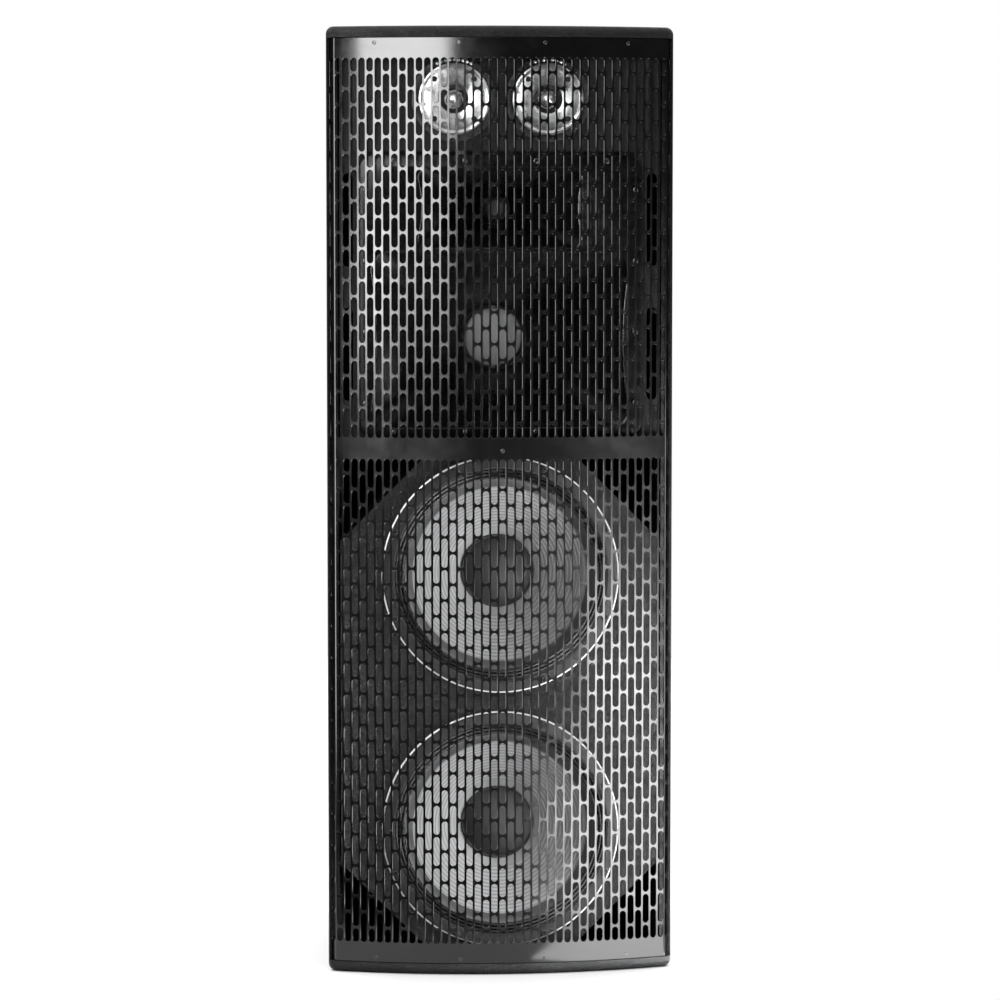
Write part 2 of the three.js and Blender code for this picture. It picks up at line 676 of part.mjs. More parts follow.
function inputPlate() {
  const wall = 2;
  const rim = 18;
  const face = REAR - 0.2;
  const { halfWidth, halfHeight, recess, z } = INPUT;
  const plate = block(2 * halfWidth, wall, 2 * halfHeight, 0, face - wall / 2, z);
  const dishWidth = 2 * (halfWidth - rim);
  const dishHeight = 2 * (halfHeight - rim);
  const dish = block(dishWidth, recess, dishHeight, 0, face - recess / 2, z);
  const hollow = block(
    dishWidth - 2 * wall, 2 * (recess - wall), dishHeight - 2 * wall, 0, face, z,
  );
  addPart('input_panel', carve([plate, dish], [hollow]), 'satinSteel');
  const floorDepth = face - recess + wall + GAP - FRONT;
  for (const [side, sign] of Object.entries(SIDES)) {
    const socket = addPart(`input_socket_${side}`, turned([
      [0, floorDepth], [15, floorDepth], [15, floorDepth + 16], [10, floorDepth + 16],
      [10, floorDepth + 3], [0, floorDepth + 3],
    ], SMALL_TURN), 'blackPlastic');
    socket.position.set(sign * 38, 0, z);
  }
}

function crossoverBoard() {
  const z = 560;
  const backY = REAR - INSIDE;
  const plate = block(220, 3, 160, 0, backY - 1.5, z);
  const coil = closed(new THREE.CylinderGeometry(32, 32, 30, 16)).translate(-60, backY - 17, z + 30);
  const coilHole = closed(new THREE.CylinderGeometry(14, 14, 60, 12)).translate(-60, backY - 33, z + 30);
  const capacitors = [20, 60].map((x) => block(28, 30, 60, x, backY - 17, z + 28));
  const resistors = [-55, 0, 55].map((x) => block(40, 14, 14, x, backY - 9, z - 50));
  addPart('crossover_board', carve([plate, coil, ...capacitors, ...resistors], [coilHole]),
    'circuitBoard');
}

// ---- Assembly ----

capBoard('top_panel', HEIGHT - PANEL, 1);
capBoard('bottom_panel', PANEL, -1);
rearBoard();
divider();
grilleRail('grille_rail_top', TOP_RAIL_Z, CEILING_Z);
grilleRail('grille_rail_bottom', FLOOR_Z, BOTTOM_RAIL_Z);
bassBaffle();
portBoards();
hornBaffle();
tweeterBaffle();
grille();
hornMoulding();
midrangeDriver();
trebleDriver();
inputPlate();
crossoverBoard();
for (const level of Object.keys(WOOFER_HEIGHTS)) {
  woofer(level);
}
for (const side of Object.keys(SIDES)) {
  sideBoard(side);
  bulletTweeter(side);
  for (const level of Object.keys(HANDLE.heights)) {
    handle(side, level);
  }
}

export default cabinet;
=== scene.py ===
"""Tall full-range loudspeaker cabinet: the visible pieces, materials, light and camera."""
import json
import math

import bmesh
import bpy
from mathutils import Matrix, Vector
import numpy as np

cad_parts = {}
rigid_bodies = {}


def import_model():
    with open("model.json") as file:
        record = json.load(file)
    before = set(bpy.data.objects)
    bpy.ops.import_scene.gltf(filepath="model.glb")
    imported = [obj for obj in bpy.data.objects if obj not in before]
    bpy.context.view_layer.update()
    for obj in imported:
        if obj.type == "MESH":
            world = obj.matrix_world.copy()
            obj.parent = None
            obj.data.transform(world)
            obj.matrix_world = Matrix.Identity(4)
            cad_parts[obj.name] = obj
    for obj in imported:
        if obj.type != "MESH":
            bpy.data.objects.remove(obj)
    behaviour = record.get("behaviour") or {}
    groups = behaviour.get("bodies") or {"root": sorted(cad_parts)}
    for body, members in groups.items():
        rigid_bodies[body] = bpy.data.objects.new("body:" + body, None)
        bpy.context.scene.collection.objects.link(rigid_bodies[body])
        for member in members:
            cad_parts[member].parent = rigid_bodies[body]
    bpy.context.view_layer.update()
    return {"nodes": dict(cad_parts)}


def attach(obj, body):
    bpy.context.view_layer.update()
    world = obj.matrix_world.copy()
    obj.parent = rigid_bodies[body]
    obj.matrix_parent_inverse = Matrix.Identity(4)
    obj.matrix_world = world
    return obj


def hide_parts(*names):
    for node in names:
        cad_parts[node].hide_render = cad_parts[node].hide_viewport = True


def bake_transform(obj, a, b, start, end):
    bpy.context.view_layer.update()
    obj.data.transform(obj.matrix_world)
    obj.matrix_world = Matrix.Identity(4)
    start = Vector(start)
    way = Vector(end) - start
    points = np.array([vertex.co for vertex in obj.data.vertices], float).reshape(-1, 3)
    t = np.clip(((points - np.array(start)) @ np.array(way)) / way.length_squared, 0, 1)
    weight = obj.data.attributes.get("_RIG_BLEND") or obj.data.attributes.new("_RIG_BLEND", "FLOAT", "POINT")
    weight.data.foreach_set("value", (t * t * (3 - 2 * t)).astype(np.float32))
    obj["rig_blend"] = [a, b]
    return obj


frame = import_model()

# Lengths are in millimetres until a mesh is made. X is the width, Z the height, and depth
# is counted back from the middle of the bowed front, which faces -Y.
MM = 0.001
FRONT = -300.0
REAR = 300.0
WIDTH = 560.0
HEIGHT = 1530.0
PANEL = 18.0
CORNER = 16.0
ROUNDOVER = 12.0
BOW_RADIUS = 803.5
BOW_CENTRE_Y = FRONT + BOW_RADIUS
TAPER = math.radians(10)
SIDE_FACING = math.pi / 2 + TAPER
SIDES = {"left": -1, "right": 1}
WOOFER_Z = {"upper": 647.0, "lower": 231.0}
HANDLE_Z = {"upper": 1160.0, "lower": 420.0}
HANDLE_Y = 60.0
HANDLE_SIZE = {"half_length": 84.0, "half_height": 54.0, "depth": 66.0, "corner": 18.0}
INPUT_Z = 330.0
HORN_Z = 1097.3
TWEETER_X = 75.5
TWEETER_Z = 1414.0
FINE_TURN = 128
SMALL_TURN = 48


# ---- Shapes: lists of corners and faces in a local frame that faces -Y ----

class Shape:
    """Corners and faces of one or more closed shells."""

    def __init__(self):
        self.corners = []
        self.faces = []

    def add(self, corners, faces):
        """Adds corners and faces that count from their own first corner."""
        base = len(self.corners)
        self.corners.extend(Vector(c) for c in corners)
        self.faces.extend(tuple(base + i for i in face) for face in faces)
        return self

    def join(self, other, matrix=Matrix.Identity(4)):
        """Adds another shape, placed by a matrix."""
        return self.add([matrix @ c for c in other.corners], other.faces)


def at(x, y, z, facing=0.0):
    """Matrix to a place, turned about Z from facing -Y by an angle towards +X."""
    return Matrix.Translation((x, y, z)) @ Matrix.Rotation(facing, 4, "Z")


def rounded(points, radius, steps=4):
    """Profile with its inner corners rounded to about the given radius."""
    result = [points[0]]
    for before, corner, after in zip(points, points[1:], points[2:]):
        middle = Vector(corner)
        to_before, to_after = Vector(before) - middle, Vector(after) - middle
        reach = min(radius, to_before.length * 0.45, to_after.length * 0.45)
        start = middle + to_before.normalized() * reach
        end = middle + to_after.normalized() * reach
        for k in range(steps + 1):
            t = k / steps
            point = start * (1 - t) ** 2 + middle * (2 * t * (1 - t)) + end * t ** 2
            result.append(tuple(point))
    return result + [points[-1]]


def closed(points, radius):
    """Profile that closes on its first point, with its other corners rounded."""
    return rounded(points + points[:1], radius)[:-1]


def square_ring(inner, outer, front, back, radius):
    """Closed profile of a ring with a rectangular section."""
    middle = (front + back) / 2
    return closed([(inner, middle), (inner, front), (outer, front), (outer, back), (inner, back)], radius)


def ring_faces(rings, count, loop=False):
    """Quads between consecutive rings of equal count."""
    faces = []
    pairs = [(r, r + 1) for r in range(rings - 1)]
    if loop:
        pairs.append((rings - 1, 0))
    for low, high in pairs:
        for i in range(count):
            j = (i + 1) % count
            faces.append((low * count + i, low * count + j, high * count + j, high * count + i))
    return faces


def lathe(profile, turn):
    """Body of revolution about Y from (radius, depth) points, closed at the axis or on itself."""
    on_axis = profile[0][0] == 0 and profile[-1][0] == 0
    points = profile[1:-1] if on_axis else profile
    corners = []
    for radius, depth in points:
        for i in range(turn):
            angle = 2 * math.pi * i / turn
            corners.append((radius * math.cos(angle), depth, radius * math.sin(angle)))
    faces = ring_faces(len(points), turn, loop=not on_axis)
    if on_axis:
        first, last = len(corners), len(corners) + 1
        corners += [(0, profile[0][1], 0), (0, profile[-1][1], 0)]
        end = (len(points) - 1) * turn
        for i in range(turn):
            j = (i + 1) % turn
            faces.append((first, j, i))
            faces.append((last, end + i, end + j))
    return Shape().add(corners, faces)


def loft(rings):
    """Closed body through rings of equal count, with flat ends."""
    count = len(rings[0])
    corners = [corner for ring in rings for corner in ring]
    faces = ring_faces(len(rings), count)
    faces.append(tuple(range(count)))
    faces.append(tuple(range(len(corners) - count, len(corners))))
    return Shape().add(corners, faces)


def tunnel(rings):
    """Closed wall through rings of equal count, the last joined to the first."""
    corners = [corner for ring in rings for corner in ring]
    return Shape().add(corners, ring_faces(len(rings), len(rings[0]), loop=True))


def arc(centre, radius, start, end, steps):
    """Points along a circle from one angle to another, both ends included."""
    return [
        (centre[0] + radius * math.cos(start + (end - start) * k / steps),
         centre[1] + radius * math.sin(start + (end - start) * k / steps))
        for k in range(steps + 1)
    ]


def rounded_rectangle(half_x, half_z, radius, centre=(0.0, 0.0), steps=8):
    """Outline of a rectangle with rounded corners."""
    points = []
    for quarter, (sx, sz) in enumerate([(1, 1), (-1, 1), (-1, -1), (1, -1)]):
        middle = (centre[0] + sx * (half_x - radius), centre[1] + sz * (half_z - radius))
        start = quarter * math.pi / 2
        points += arc(middle, radius, start, start + math.pi / 2, steps)
    return points


def pressed(half_x, half_z, profile, corner):
    """Rounded-rectangle pressing from (growth, depth, ...) points, from its floor outwards."""
    return loft([
        [(x, depth, z) for x, z in rounded_rectangle(half_x + grow, half_z + grow, corner + grow)]
        for grow, depth in profile
    ])


def upright_bar(half_x, half_z, radius, front_y, back_y, z=0.0):
    """Short bar along the depth with a rounded rectangular section."""
    outline = rounded_rectangle(half_x, half_z, radius, (0, z), 2)
    return loft([[(x, y, up) for x, up in outline] for y in (front_y, back_y)])


def plate(outlines, front_depth, back_depth, bevel):
    """Flat plate facing -Y with rounded edges: the first outline is its rim, the rest are holes."""
    curve = bpy.data.curves.new("plate", "CURVE")
    curve.dimensions = "2D"
    curve.fill_mode = "BOTH"
    curve.extrude = (back_depth - front_depth) / 2 - bevel
    curve.bevel_depth = bevel
    curve.bevel_resolution = 2
    curve.offset = -bevel
    for outline in outlines:
        spline = curve.splines.new("POLY")
        spline.points.add(len(outline) - 1)
        spline.use_cyclic_u = True
        for point, (x, z) in zip(spline.points, outline):
            point.co = (x, z, 0, 1)
    holder = bpy.data.objects.new("plate", curve)
    bpy.context.scene.collection.objects.link(holder)
    bpy.context.view_layer.update()
    flat = bpy.data.meshes.new_from_object(holder.evaluated_get(bpy.context.evaluated_depsgraph_get()))
    middle = (front_depth + back_depth) / 2
    corners = [(v.co.x, middle - v.co.z, v.co.y) for v in flat.vertices]
    faces = [tuple(p.vertices) for p in flat.polygons]
    bpy.data.objects.remove(holder)
    bpy.data.curves.remove(curve)
    bpy.data.meshes.remove(flat)
    return Shape().add(corners, faces)


def screw(radius, height):
    """Domed screw head with a hexagonal socket, standing on depth 0 and facing -Y."""
    def hexagon(size, angle):
        return size * math.cos(math.pi / 6) / math.cos(angle % (math.pi / 3) - math.pi / 6)

    turn = 24
    angles = [2 * math.pi * i / turn for i in range(turn)]
    rings = []
    for share, depth in ((1, 0.3), (1, -0.45 * height), (0.93, -0.8 * height), (0.75, -height)):
        rings.append([share * radius] * turn + [depth])
    for share, depth in ((0.5, -height), (0.46, -0.3 * height)):
        rings.append([hexagon(share * radius, a) for a in angles] + [depth])
    return loft([
        [(r * math.cos(a), ring[-1], r * math.sin(a)) for r, a in zip(ring, angles)] for ring in rings
    ])


def make(name, shape, material, body="cabinet", stands_for=(), sharp=32):
    """One Blender piece in metres from a shape in millimetres."""
    mesh = bpy.data.meshes.new(name)
    mesh.from_pydata([c * MM for c in shape.corners], [], shape.faces)
    builder = bmesh.new()
    builder.from_mesh(mesh)
    bmesh.ops.remove_doubles(builder, verts=builder.verts, dist=1e-6)
    bmesh.ops.recalc_face_normals(builder, faces=builder.faces)
    builder.to_mesh(mesh)
    builder.free()
    mesh.materials.append(material)
    mesh.shade_smooth()
    mesh.set_sharp_from_angle(angle=math.radians(sharp))
    piece = bpy.data.objects.new(name, mesh)
    bpy.context.scene.collection.objects.link(piece)
    if body:
        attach(piece, body)
    if stands_for:
        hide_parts(*stands_for)
    return piece


def screws(name, places, radius, height):
    """One piece with a screw head at every place."""
    shape = Shape()
    head = screw(radius, height)
    for place in places:
        shape.join(head, place)
    make(name, shape, SCREW_STEEL)


# ---- Materials ----

class Look:
    """A Principled material put together from procedural layers in real size."""

    def __init__(self, name, metallic=0.0, specular=0.5, coat=0.0):
        self.material = bpy.data.materials.new(name)
        self.material.use_nodes = True
        self.tree = self.material.node_tree
        self.shader = next(n for n in self.tree.nodes if n.type == "BSDF_PRINCIPLED")
        settings = {
            "Metallic": metallic, "Specular IOR Level": specular, "Coat Weight": coat, "Coat Roughness": 0.12,
        }
        for key, value in settings.items():
            self.shader.inputs[key].default_value = value
        self.place = self.layer("ShaderNodeTexCoord", "Object", {})

    def link(self, source, target):
        """Joins an output to an input, or sets the input to a value."""
        if isinstance(source, bpy.types.NodeSocket):
            self.tree.links.new(source, target)
        else:
            target.default_value = source

    def layer(self, kind, output, inputs, **settings):
        """Output of a new shader node, whose inputs are other outputs or plain values."""
        node = self.tree.nodes.new(kind)
        for key, value in settings.items():
            setattr(node, key, value)
        for key, source in inputs.items():
            self.link(source, node.inputs[key])
        return node.outputs[output]

    def noise(self, grain, detail, stretch=(1, 1, 1)):
        """Soft clouds whose grain is given in millimetres."""
        place = self.layer("ShaderNodeMapping", "Vector", {"Vector": self.place, "Scale": stretch})
        inputs = {"Vector": place, "Scale": 1 / (grain * MM), "Detail": detail}
        return self.layer("ShaderNodeTexNoise", "Fac", inputs)

    def cells(self, grain):
        """Rounded cells whose size is given in millimetres."""
        inputs = {"Vector": self.place, "Scale": 1 / (grain * MM)}
        return self.layer("ShaderNodeTexVoronoi", "Distance", inputs)

    def bands(self, pitch, direction, distortion=0.0, shape="BANDS"):
        """Repeating bands or rings with a pitch in millimetres."""
        inputs = {"Vector": self.place, "Scale": math.pi / (10 * pitch * MM), "Distortion": distortion}
        settings = {"wave_type": shape, f"{shape.lower()}_direction": direction}
        return self.layer("ShaderNodeTexWave", "Fac", inputs, **settings)

    def maths(self, operation, a, b):
        """Result of one operation on two values."""
        return self.layer("ShaderNodeMath", 0, {0: a, 1: b}, operation=operation)

    def spread(self, value, low, high, start=0.3, end=0.7):
        """Maps a texture value from start..end onto low..high."""
        inputs = {"Value": value, "From Min": start, "From Max": end, "To Min": low, "To Max": high}
        return self.layer("ShaderNodeMapRange", "Result", inputs)

    def crests(self, start, end):
        """0 in the grooves of the mesh and 1 on its crests: the mask for painted shade in grooves."""
        return self.spread(self.layer("ShaderNodeNewGeometry", "Pointiness", {}), 0, 1, start, end)

    def blend(self, factor, dark, light):
        """Mix of two colours by a factor."""
        inputs = {0: factor}
        for socket, colour in ((6, dark), (7, light)):
            inputs[socket] = colour if isinstance(colour, bpy.types.NodeSocket) else (*colour, 1)
        return self.layer("ShaderNodeMix", 2, inputs, data_type="RGBA")

    def finish(self, colour, roughness, height, depth, strength=1.0):
        """Joins the layers to the shader, with a bump as deep as stated in millimetres."""
        inputs = {"Distance": depth * MM, "Strength": strength, "Height": height}
        bump = self.layer("ShaderNodeBump", "Normal", inputs)
        for key, source in (("Base Color", colour), ("Roughness", roughness), ("Normal", bump)):
            self.link(source, self.shader.inputs[key])
        return self.material


def textured_paint(name, dark, light, specular, depth=0.5):
    """Hard-wearing rolled coating: dense grains about 2 mm across, rubbed paler here and there."""
    look = Look(name, specular=specular)
    grain = look.maths("ADD", look.noise(1.9, 3), look.cells(2.6))
    fleck = look.spread(look.noise(1.8, 1), 0, 1, 0.44, 0.7)
    rubbed = look.spread(look.noise(60, 5), 0.45, 1.0, 0.42, 0.72)
    tone = look.blend(look.maths("MULTIPLY", rubbed, fleck), dark, light)
    return look.finish(tone, look.spread(look.noise(14, 4), 0.4, 0.55), grain, depth)


def powder_coat(name, dark, light, roughness, specular=0.5, grain=2.4, depth=0.02):
    """Smooth baked coating with a faint orange-peel surface and fine dust."""
    look = Look(name, specular=specular)
    tone = look.blend(look.spread(look.noise(0.6, 2), 0, 1, 0.5, 0.8), dark, light)
    worn = look.spread(look.noise(30, 4), roughness, roughness + 0.06)
    return look.finish(tone, worn, look.noise(grain, 1), depth)


def moulded_plastic(name, dark, light, roughness, specular=0.3):
    """Black moulded plastic with a fine spark texture and soft flow marks."""
    look = Look(name, specular=specular)
    tone = look.blend(look.spread(look.noise(25, 3), 0, 1), dark, light)
    sheen = look.spread(look.noise(8, 4), roughness - 0.06, roughness + 0.08)
    return look.finish(tone, sheen, look.noise(0.5, 2), 0.03)


def machined(name, dark, light, roughness):
    """Turned bare metal with fine concentric tool marks."""
    look = Look(name, metallic=1.0)
    marks = look.bands(0.25, "Y", 0.4, "RINGS")
    tone = look.blend(look.spread(look.noise(5, 4), 0, 1), dark, light)
    return look.finish(tone, look.spread(look.noise(2, 3), roughness, roughness + 0.1), marks, 0.004, 0.5)


def cast_metal(name, dark, light):
    """Painted casting with the pitted skin of a sand or die mould."""
    look = Look(name)
    tone = look.blend(look.spread(look.noise(9, 5), 0, 1), dark, light)
    return look.finish(tone, look.spread(look.noise(3, 3), 0.38, 0.55), look.noise(1.1, 4), 0.08)


def paper_pulp(name, dark, light):
    """Pressed paper: tangled fibres, small dark flecks, painted shade in the grooves of its ribs, and a dull
    surface.
    """
    look = Look(name, specular=0.25)
    fibres = look.noise(1.1, 6, (1.0, 1.0, 3.0))
    crossing = look.noise(1.1, 6, (3.0, 1.0, 1.0))
    pulp = look.maths("MULTIPLY", look.maths("ADD", fibres, crossing), 0.5)
    base = look.blend(look.spread(pulp, 0, 1, 0.35, 0.65), dark, light)
    flecks = look.spread(look.noise(0.8, 1), 0, 0.5, 0.66, 0.74)
    flecked = look.blend(flecks, base, dark)
    # Painted shade: the grooves between the ribs are darkened to 0.4 of the dark colour, the crests keep the
    # flecked pulp.
    tone = look.blend(look.crests(0.44, 0.54), tuple(0.4 * c for c in dark), flecked)
    return look.finish(tone, look.spread(pulp, 0.75, 0.95), pulp, 0.12)


def woven_cloth(name, dark, light, pitch, roughness, specular=0.3, depth=0.12):
    """Plain weave of threads across X and Z, sealed with a coating, with painted shade that darkens the
    grooves of the mesh against its crests.
    """
    look = Look(name, specular=specular)
    across = look.bands(pitch, "X", 0.6)
    along = look.bands(pitch, "Z", 0.6)
    weave = look.maths("MULTIPLY", look.maths("ADD", across, along), 0.5)
    woven = look.blend(look.spread(weave, 0, 1, 0.1, 0.9), dark, light)
    # Painted shade: the grooves of the mesh are darkened to 0.2 of the dark colour, the crests keep the
    # weave.
    tone = look.blend(look.crests(0.46, 0.56), tuple(0.2 * c for c in dark), woven)
    uneven = look.spread(look.noise(12, 3), roughness - 0.12, roughness + 0.08)
    return look.finish(tone, uneven, weave, depth)


def closed_foam(name, dark, light, grain=0.9, depth=0.25):
    """Foam or felt with a dense field of tiny pits."""
    look = Look(name, specular=0.2)
    pits = look.maths("ADD", look.cells(grain), look.noise(grain * 0.6, 4))
    tone = look.blend(look.spread(pits, 0, 1, 0.4, 1.1), dark, light)
    return look.finish(tone, look.spread(look.noise(6, 2), 0.82, 0.97), pits, depth)


def polished_metal(name, dark, light, roughness, spun=0.0):
    """Spun and polished aluminium with hairline turning marks that stretch its highlights outwards."""
    look = Look(name, metallic=1.0)
    tangent = look.layer("ShaderNodeTangent", "Tangent", {}, direction_type="RADIAL", axis="Y")
    look.link(tangent, look.shader.inputs["Tangent"])
    look.shader.inputs["Anisotropic"].default_value = spun
    look.shader.inputs["Anisotropic Rotation"].default_value = 0.25
    hairlines = look.noise(0.35, 3, (1.0, 0.05, 1.0))
    tone = look.blend(look.spread(look.noise(12, 3), 0, 1), dark, light)
    return look.finish(tone, look.spread(look.noise(4, 4), roughness, roughness + 0.1), hairlines, 0.004)


def wound_copper(name):
    """Enamelled wire laid turn beside turn along the depth."""
    look = Look(name, metallic=1.0)
    wires = look.bands(0.5, "Y")
    tone = look.blend(wires, (0.22, 0.08, 0.03), (0.75, 0.36, 0.16))
    return look.finish(tone, look.spread(look.noise(3, 3), 0.25, 0.4), wires, 0.15)


def fibreglass_board(name):
    """Green circuit board with a faint weave beneath the lacquer."""
    look = Look(name, coat=0.3)
    weave = look.maths("MULTIPLY", look.bands(0.8, "X", 0.5), look.bands(0.8, "Z", 0.5))
    tone = look.blend(look.spread(weave, 0, 1, 0, 1), (0.012, 0.07, 0.03), (0.03, 0.13, 0.06))
    return look.finish(tone, look.spread(look.noise(10, 3), 0.3, 0.45), weave, 0.03)


def studio_floor(name):
    """Pale seamless floor, very slightly mottled."""
    look = Look(name, specular=0.1)
    tone = look.blend(look.spread(look.noise(300, 4), 0, 1), grey(0.945), grey(0.965))
    return look.finish(tone, look.spread(look.noise(90, 3), 0.75, 0.85), look.noise(2, 3), 0.02)


def grey(value, blue=0.0):
    """Colour with equal red and green and a little more blue."""
    return value, value, value + blue


CABINET_PAINT = textured_paint("cabinet_paint", (0.003, 0.0031, 0.0032), (0.022, 0.0223, 0.0226), 0.18)
BAFFLE_PAINT = textured_paint("baffle_paint", grey(0.0012, 0.0001), grey(0.013, 0.0003), 0.1, 0.35)
GRILLE_STEEL = powder_coat("grille_steel", grey(0.001), grey(0.004), 0.115, 0.5, 4.0, 0.012)
HANDLE_STEEL = powder_coat("handle_steel", grey(0.014, 0.001), grey(0.035, 0.001), 0.3)
INPUT_STEEL = powder_coat("input_steel", grey(0.016, 0.001), grey(0.04, 0.001), 0.38, grain=1.2)
SCREW_STEEL = powder_coat("screw_steel", grey(0.006, 0.0005), grey(0.03, 0.001), 0.25, grain=0.7)
HORN_PLASTIC = moulded_plastic("horn_plastic", grey(0.001), grey(0.0035), 0.22, 0.14)
HORN_GLOSS = moulded_plastic("horn_gloss", grey(0.001), grey(0.0035), 0.16, 0.6)
SOCKET_PLASTIC = moulded_plastic("socket_plastic", grey(0.014, 0.001), grey(0.028, 0.002), 0.4)
FLANGE_PLASTIC = moulded_plastic("tweeter_black", grey(0.010, 0.001), grey(0.018, 0.001), 0.3)
CAST_FRAME = cast_metal("cast_frame", grey(0.007, 0.001), grey(0.018, 0.001))
BARE_EDGE = machined("frame_edge", grey(0.62, 0.01), grey(0.80, 0.01), 0.26)
FERRITE = cast_metal("magnet_ferrite", grey(0.03, 0.002), grey(0.075, 0.005))
GASKET_FOAM = closed_foam("gasket_foam", grey(0.003), grey(0.011))
PLUG_FELT = closed_foam("plug_felt", grey(0.10, 0.005), grey(0.24, 0.005), 0.7, 0.2)
SURROUND_CLOTH = woven_cloth("surround_cloth", grey(0.004, 0.0002), grey(0.026, 0.001), 0.7, 0.3, 0.6, 0.03)
CONE_EDGE = woven_cloth("cone_edge_cloth", grey(0.012, 0.001), grey(0.034, 0.001), 0.7, 0.7)
SPIDER_CLOTH = woven_cloth("spider_cloth", (0.30, 0.20, 0.08), (0.50, 0.37, 0.18), 0.8, 0.8)
CONE_PAPER = paper_pulp("cone_paper", grey(0.13, 0.004), grey(0.26, 0.004))
CAP_CLOTH = woven_cloth("dust_cap_cloth", grey(0.006, 0.0005), grey(0.022, 0.001), 0.6, 0.55)
COPPER = wound_copper("coil_copper")
SILVER = polished_metal("tweeter_silver", (0.62, 0.625, 0.63), (0.82, 0.825, 0.83), 0.26, 0.85)
TITANIUM = polished_metal("diaphragm_metal", grey(0.42, 0.02), grey(0.6, 0.02), 0.25)
CIRCUIT = fibreglass_board("circuit_board")


# ---- Cabinet boards ----

FRONT_CORNER_X = WIDTH / 2 - CORNER
INNER_BOW = BOW_RADIUS - CORNER
FRONT_CORNER = (FRONT_CORNER_X, BOW_CENTRE_Y - math.sqrt(INNER_BOW ** 2 - FRONT_CORNER_X ** 2))
BOW_END = math.asin(FRONT_CORNER_X / INNER_BOW)
SIDE_REACH = math.cos(TAPER) * FRONT_CORNER[0] + math.sin(TAPER) * FRONT_CORNER[1] + CORNER


def side_x(inset, y):
    """X of the right side face, moved inwards by inset, at a place along the depth."""
    return (SIDE_REACH - inset - math.sin(TAPER) * y) / math.cos(TAPER)


REAR_CORNER = (side_x(CORNER, REAR - CORNER), REAR - CORNER)


def mirrored(outline):
    """Outline reflected across the middle of the width."""
    return [(-x, y) for x, y in reversed(outline)]


def cabinet_outline(inset):
    """Plan of the cabinet, moved inwards by inset."""
    quarter = math.pi / 2
    radius = CORNER - inset
    half = arc((0, BOW_CENTRE_Y), BOW_RADIUS - inset, -quarter, -quarter + BOW_END, 32)
    half += arc(FRONT_CORNER, radius, -quarter + BOW_END, TAPER, 10)[1:]
    half += arc(REAR_CORNER, radius, TAPER, quarter, 10)
    return half + mirrored(half)[:-1]


def cap_board(name, inner_z, direction):
    """Top or bottom board with a generous rounded outer edge."""
    edge = arc((ROUNDOVER, PANEL - ROUNDOVER), ROUNDOVER, math.pi, math.pi / 2, 10)
    rings = []
    for inset, rise in [(0, 0)] + edge:
        rings.append([(x, y, inner_z + direction * rise) for x, y in cabinet_outline(inset)])
    make(name, loft(rings), CABINET_PAINT, stands_for=[name.replace("board", "panel")])


def side_board(side):
    """Tapered side board with a thin lip beside the grille and openings for its two handles."""
    lip = 4.0
    rebate_y = FRONT + 62
    nose = math.radians(-25)
    reach = (HANDLE_SIZE["half_length"] + 2) * math.cos(TAPER)
    low_y, high_y = HANDLE_Y - reach, HANDLE_Y + reach
    outer = [(side_x(0, y), y) for y in (low_y, high_y)]
    inner = [(side_x(PANEL, y), y) for y in (REAR, high_y, low_y, rebate_y)]
    plan = arc(FRONT_CORNER, CORNER, nose, TAPER, 12) + outer
    plan += arc(REAR_CORNER, CORNER, TAPER, math.pi / 2, 12) + inner + [(side_x(lip, rebate_y), rebate_y)]
    plan += arc(FRONT_CORNER, CORNER - lip, TAPER, nose, 8)[1:]
    outer_edge = plan.index(outer[0])
    inner_edge = plan.index(inner[1])
    half = HANDLE_SIZE["half_height"] + 2
    levels = [PANEL]
    for z in (HANDLE_Z["lower"], HANDLE_Z["upper"]):
        levels += [z - half, z + half]
    levels.append(HEIGHT - PANEL)
    count = len(plan)
    sign = SIDES[side]
    corners = [(sign * x, y, z) for z in levels for x, y in plan]
    handle_rows = (1, 3)
    openings = [k * count + i for k in handle_rows for i in (outer_edge, inner_edge)]
    faces = [face for face in ring_faces(len(levels), count) if face[0] not in openings]
    faces += [tuple(range(count)), tuple(range(len(corners) - count, len(corners)))]
    for k in handle_rows:
        out_low, out_high = k * count + outer_edge, (k + 1) * count + outer_edge
        in_low, in_high = k * count + inner_edge, (k + 1) * count + inner_edge
        faces += [
            (out_low, out_low + 1, in_low, in_low + 1), (out_high, out_high + 1, in_high, in_high + 1),
            (out_low, out_high, in_high + 1, in_low + 1), (out_low + 1, out_high + 1, in_high, in_low),
        ]
    shape = Shape().add(corners, faces)
    make(f"{side}_side_board", shape, CABINET_PAINT, stands_for=[f"{side}_side_panel"])


def rear_inserts():
    """Threaded bushings, pressed into the rear board for hanging and tilting hardware."""
    shape = Shape()
    bush = lathe(rounded([(5.2, 2), (5.2, -0.1), (11, -0.1), (11, 2)], 0.6), SMALL_TURN)
    for z in (1390, 150):
        shape.join(bush, at(0, REAR - 0.3, z, math.pi))
    make("rear_bushings", shape, SCREW_STEEL)


# ---- Grille ----

GRILLE_RADIUS = BOW_RADIUS - 1
GRILLE_THICKNESS = 1.6
GRILLE_BOTTOM = 19.3
GRILLE_TOP = HEIGHT - 19.3
COLUMN_PITCH = 13.35
CELL = 51.0
SLOT_HALF = 4.95
SLOT_BRIDGE = 3.9
SLOT_BEVEL = 0.45
BEND_AT = GRILLE_RADIUS * math.asin(266.5 / GRILLE_RADIUS)
BEND_START = BEND_AT / GRILLE_RADIUS
BEND_END = math.radians(58)
BEND_RADIUS = 4.0
BEND_DONE = BEND_AT + BEND_RADIUS * (BEND_END - BEND_START)
FLANGE_END = BEND_DONE + 12.4
FIELDS = ((48.65, 839.15), (869.05, 1481.05))


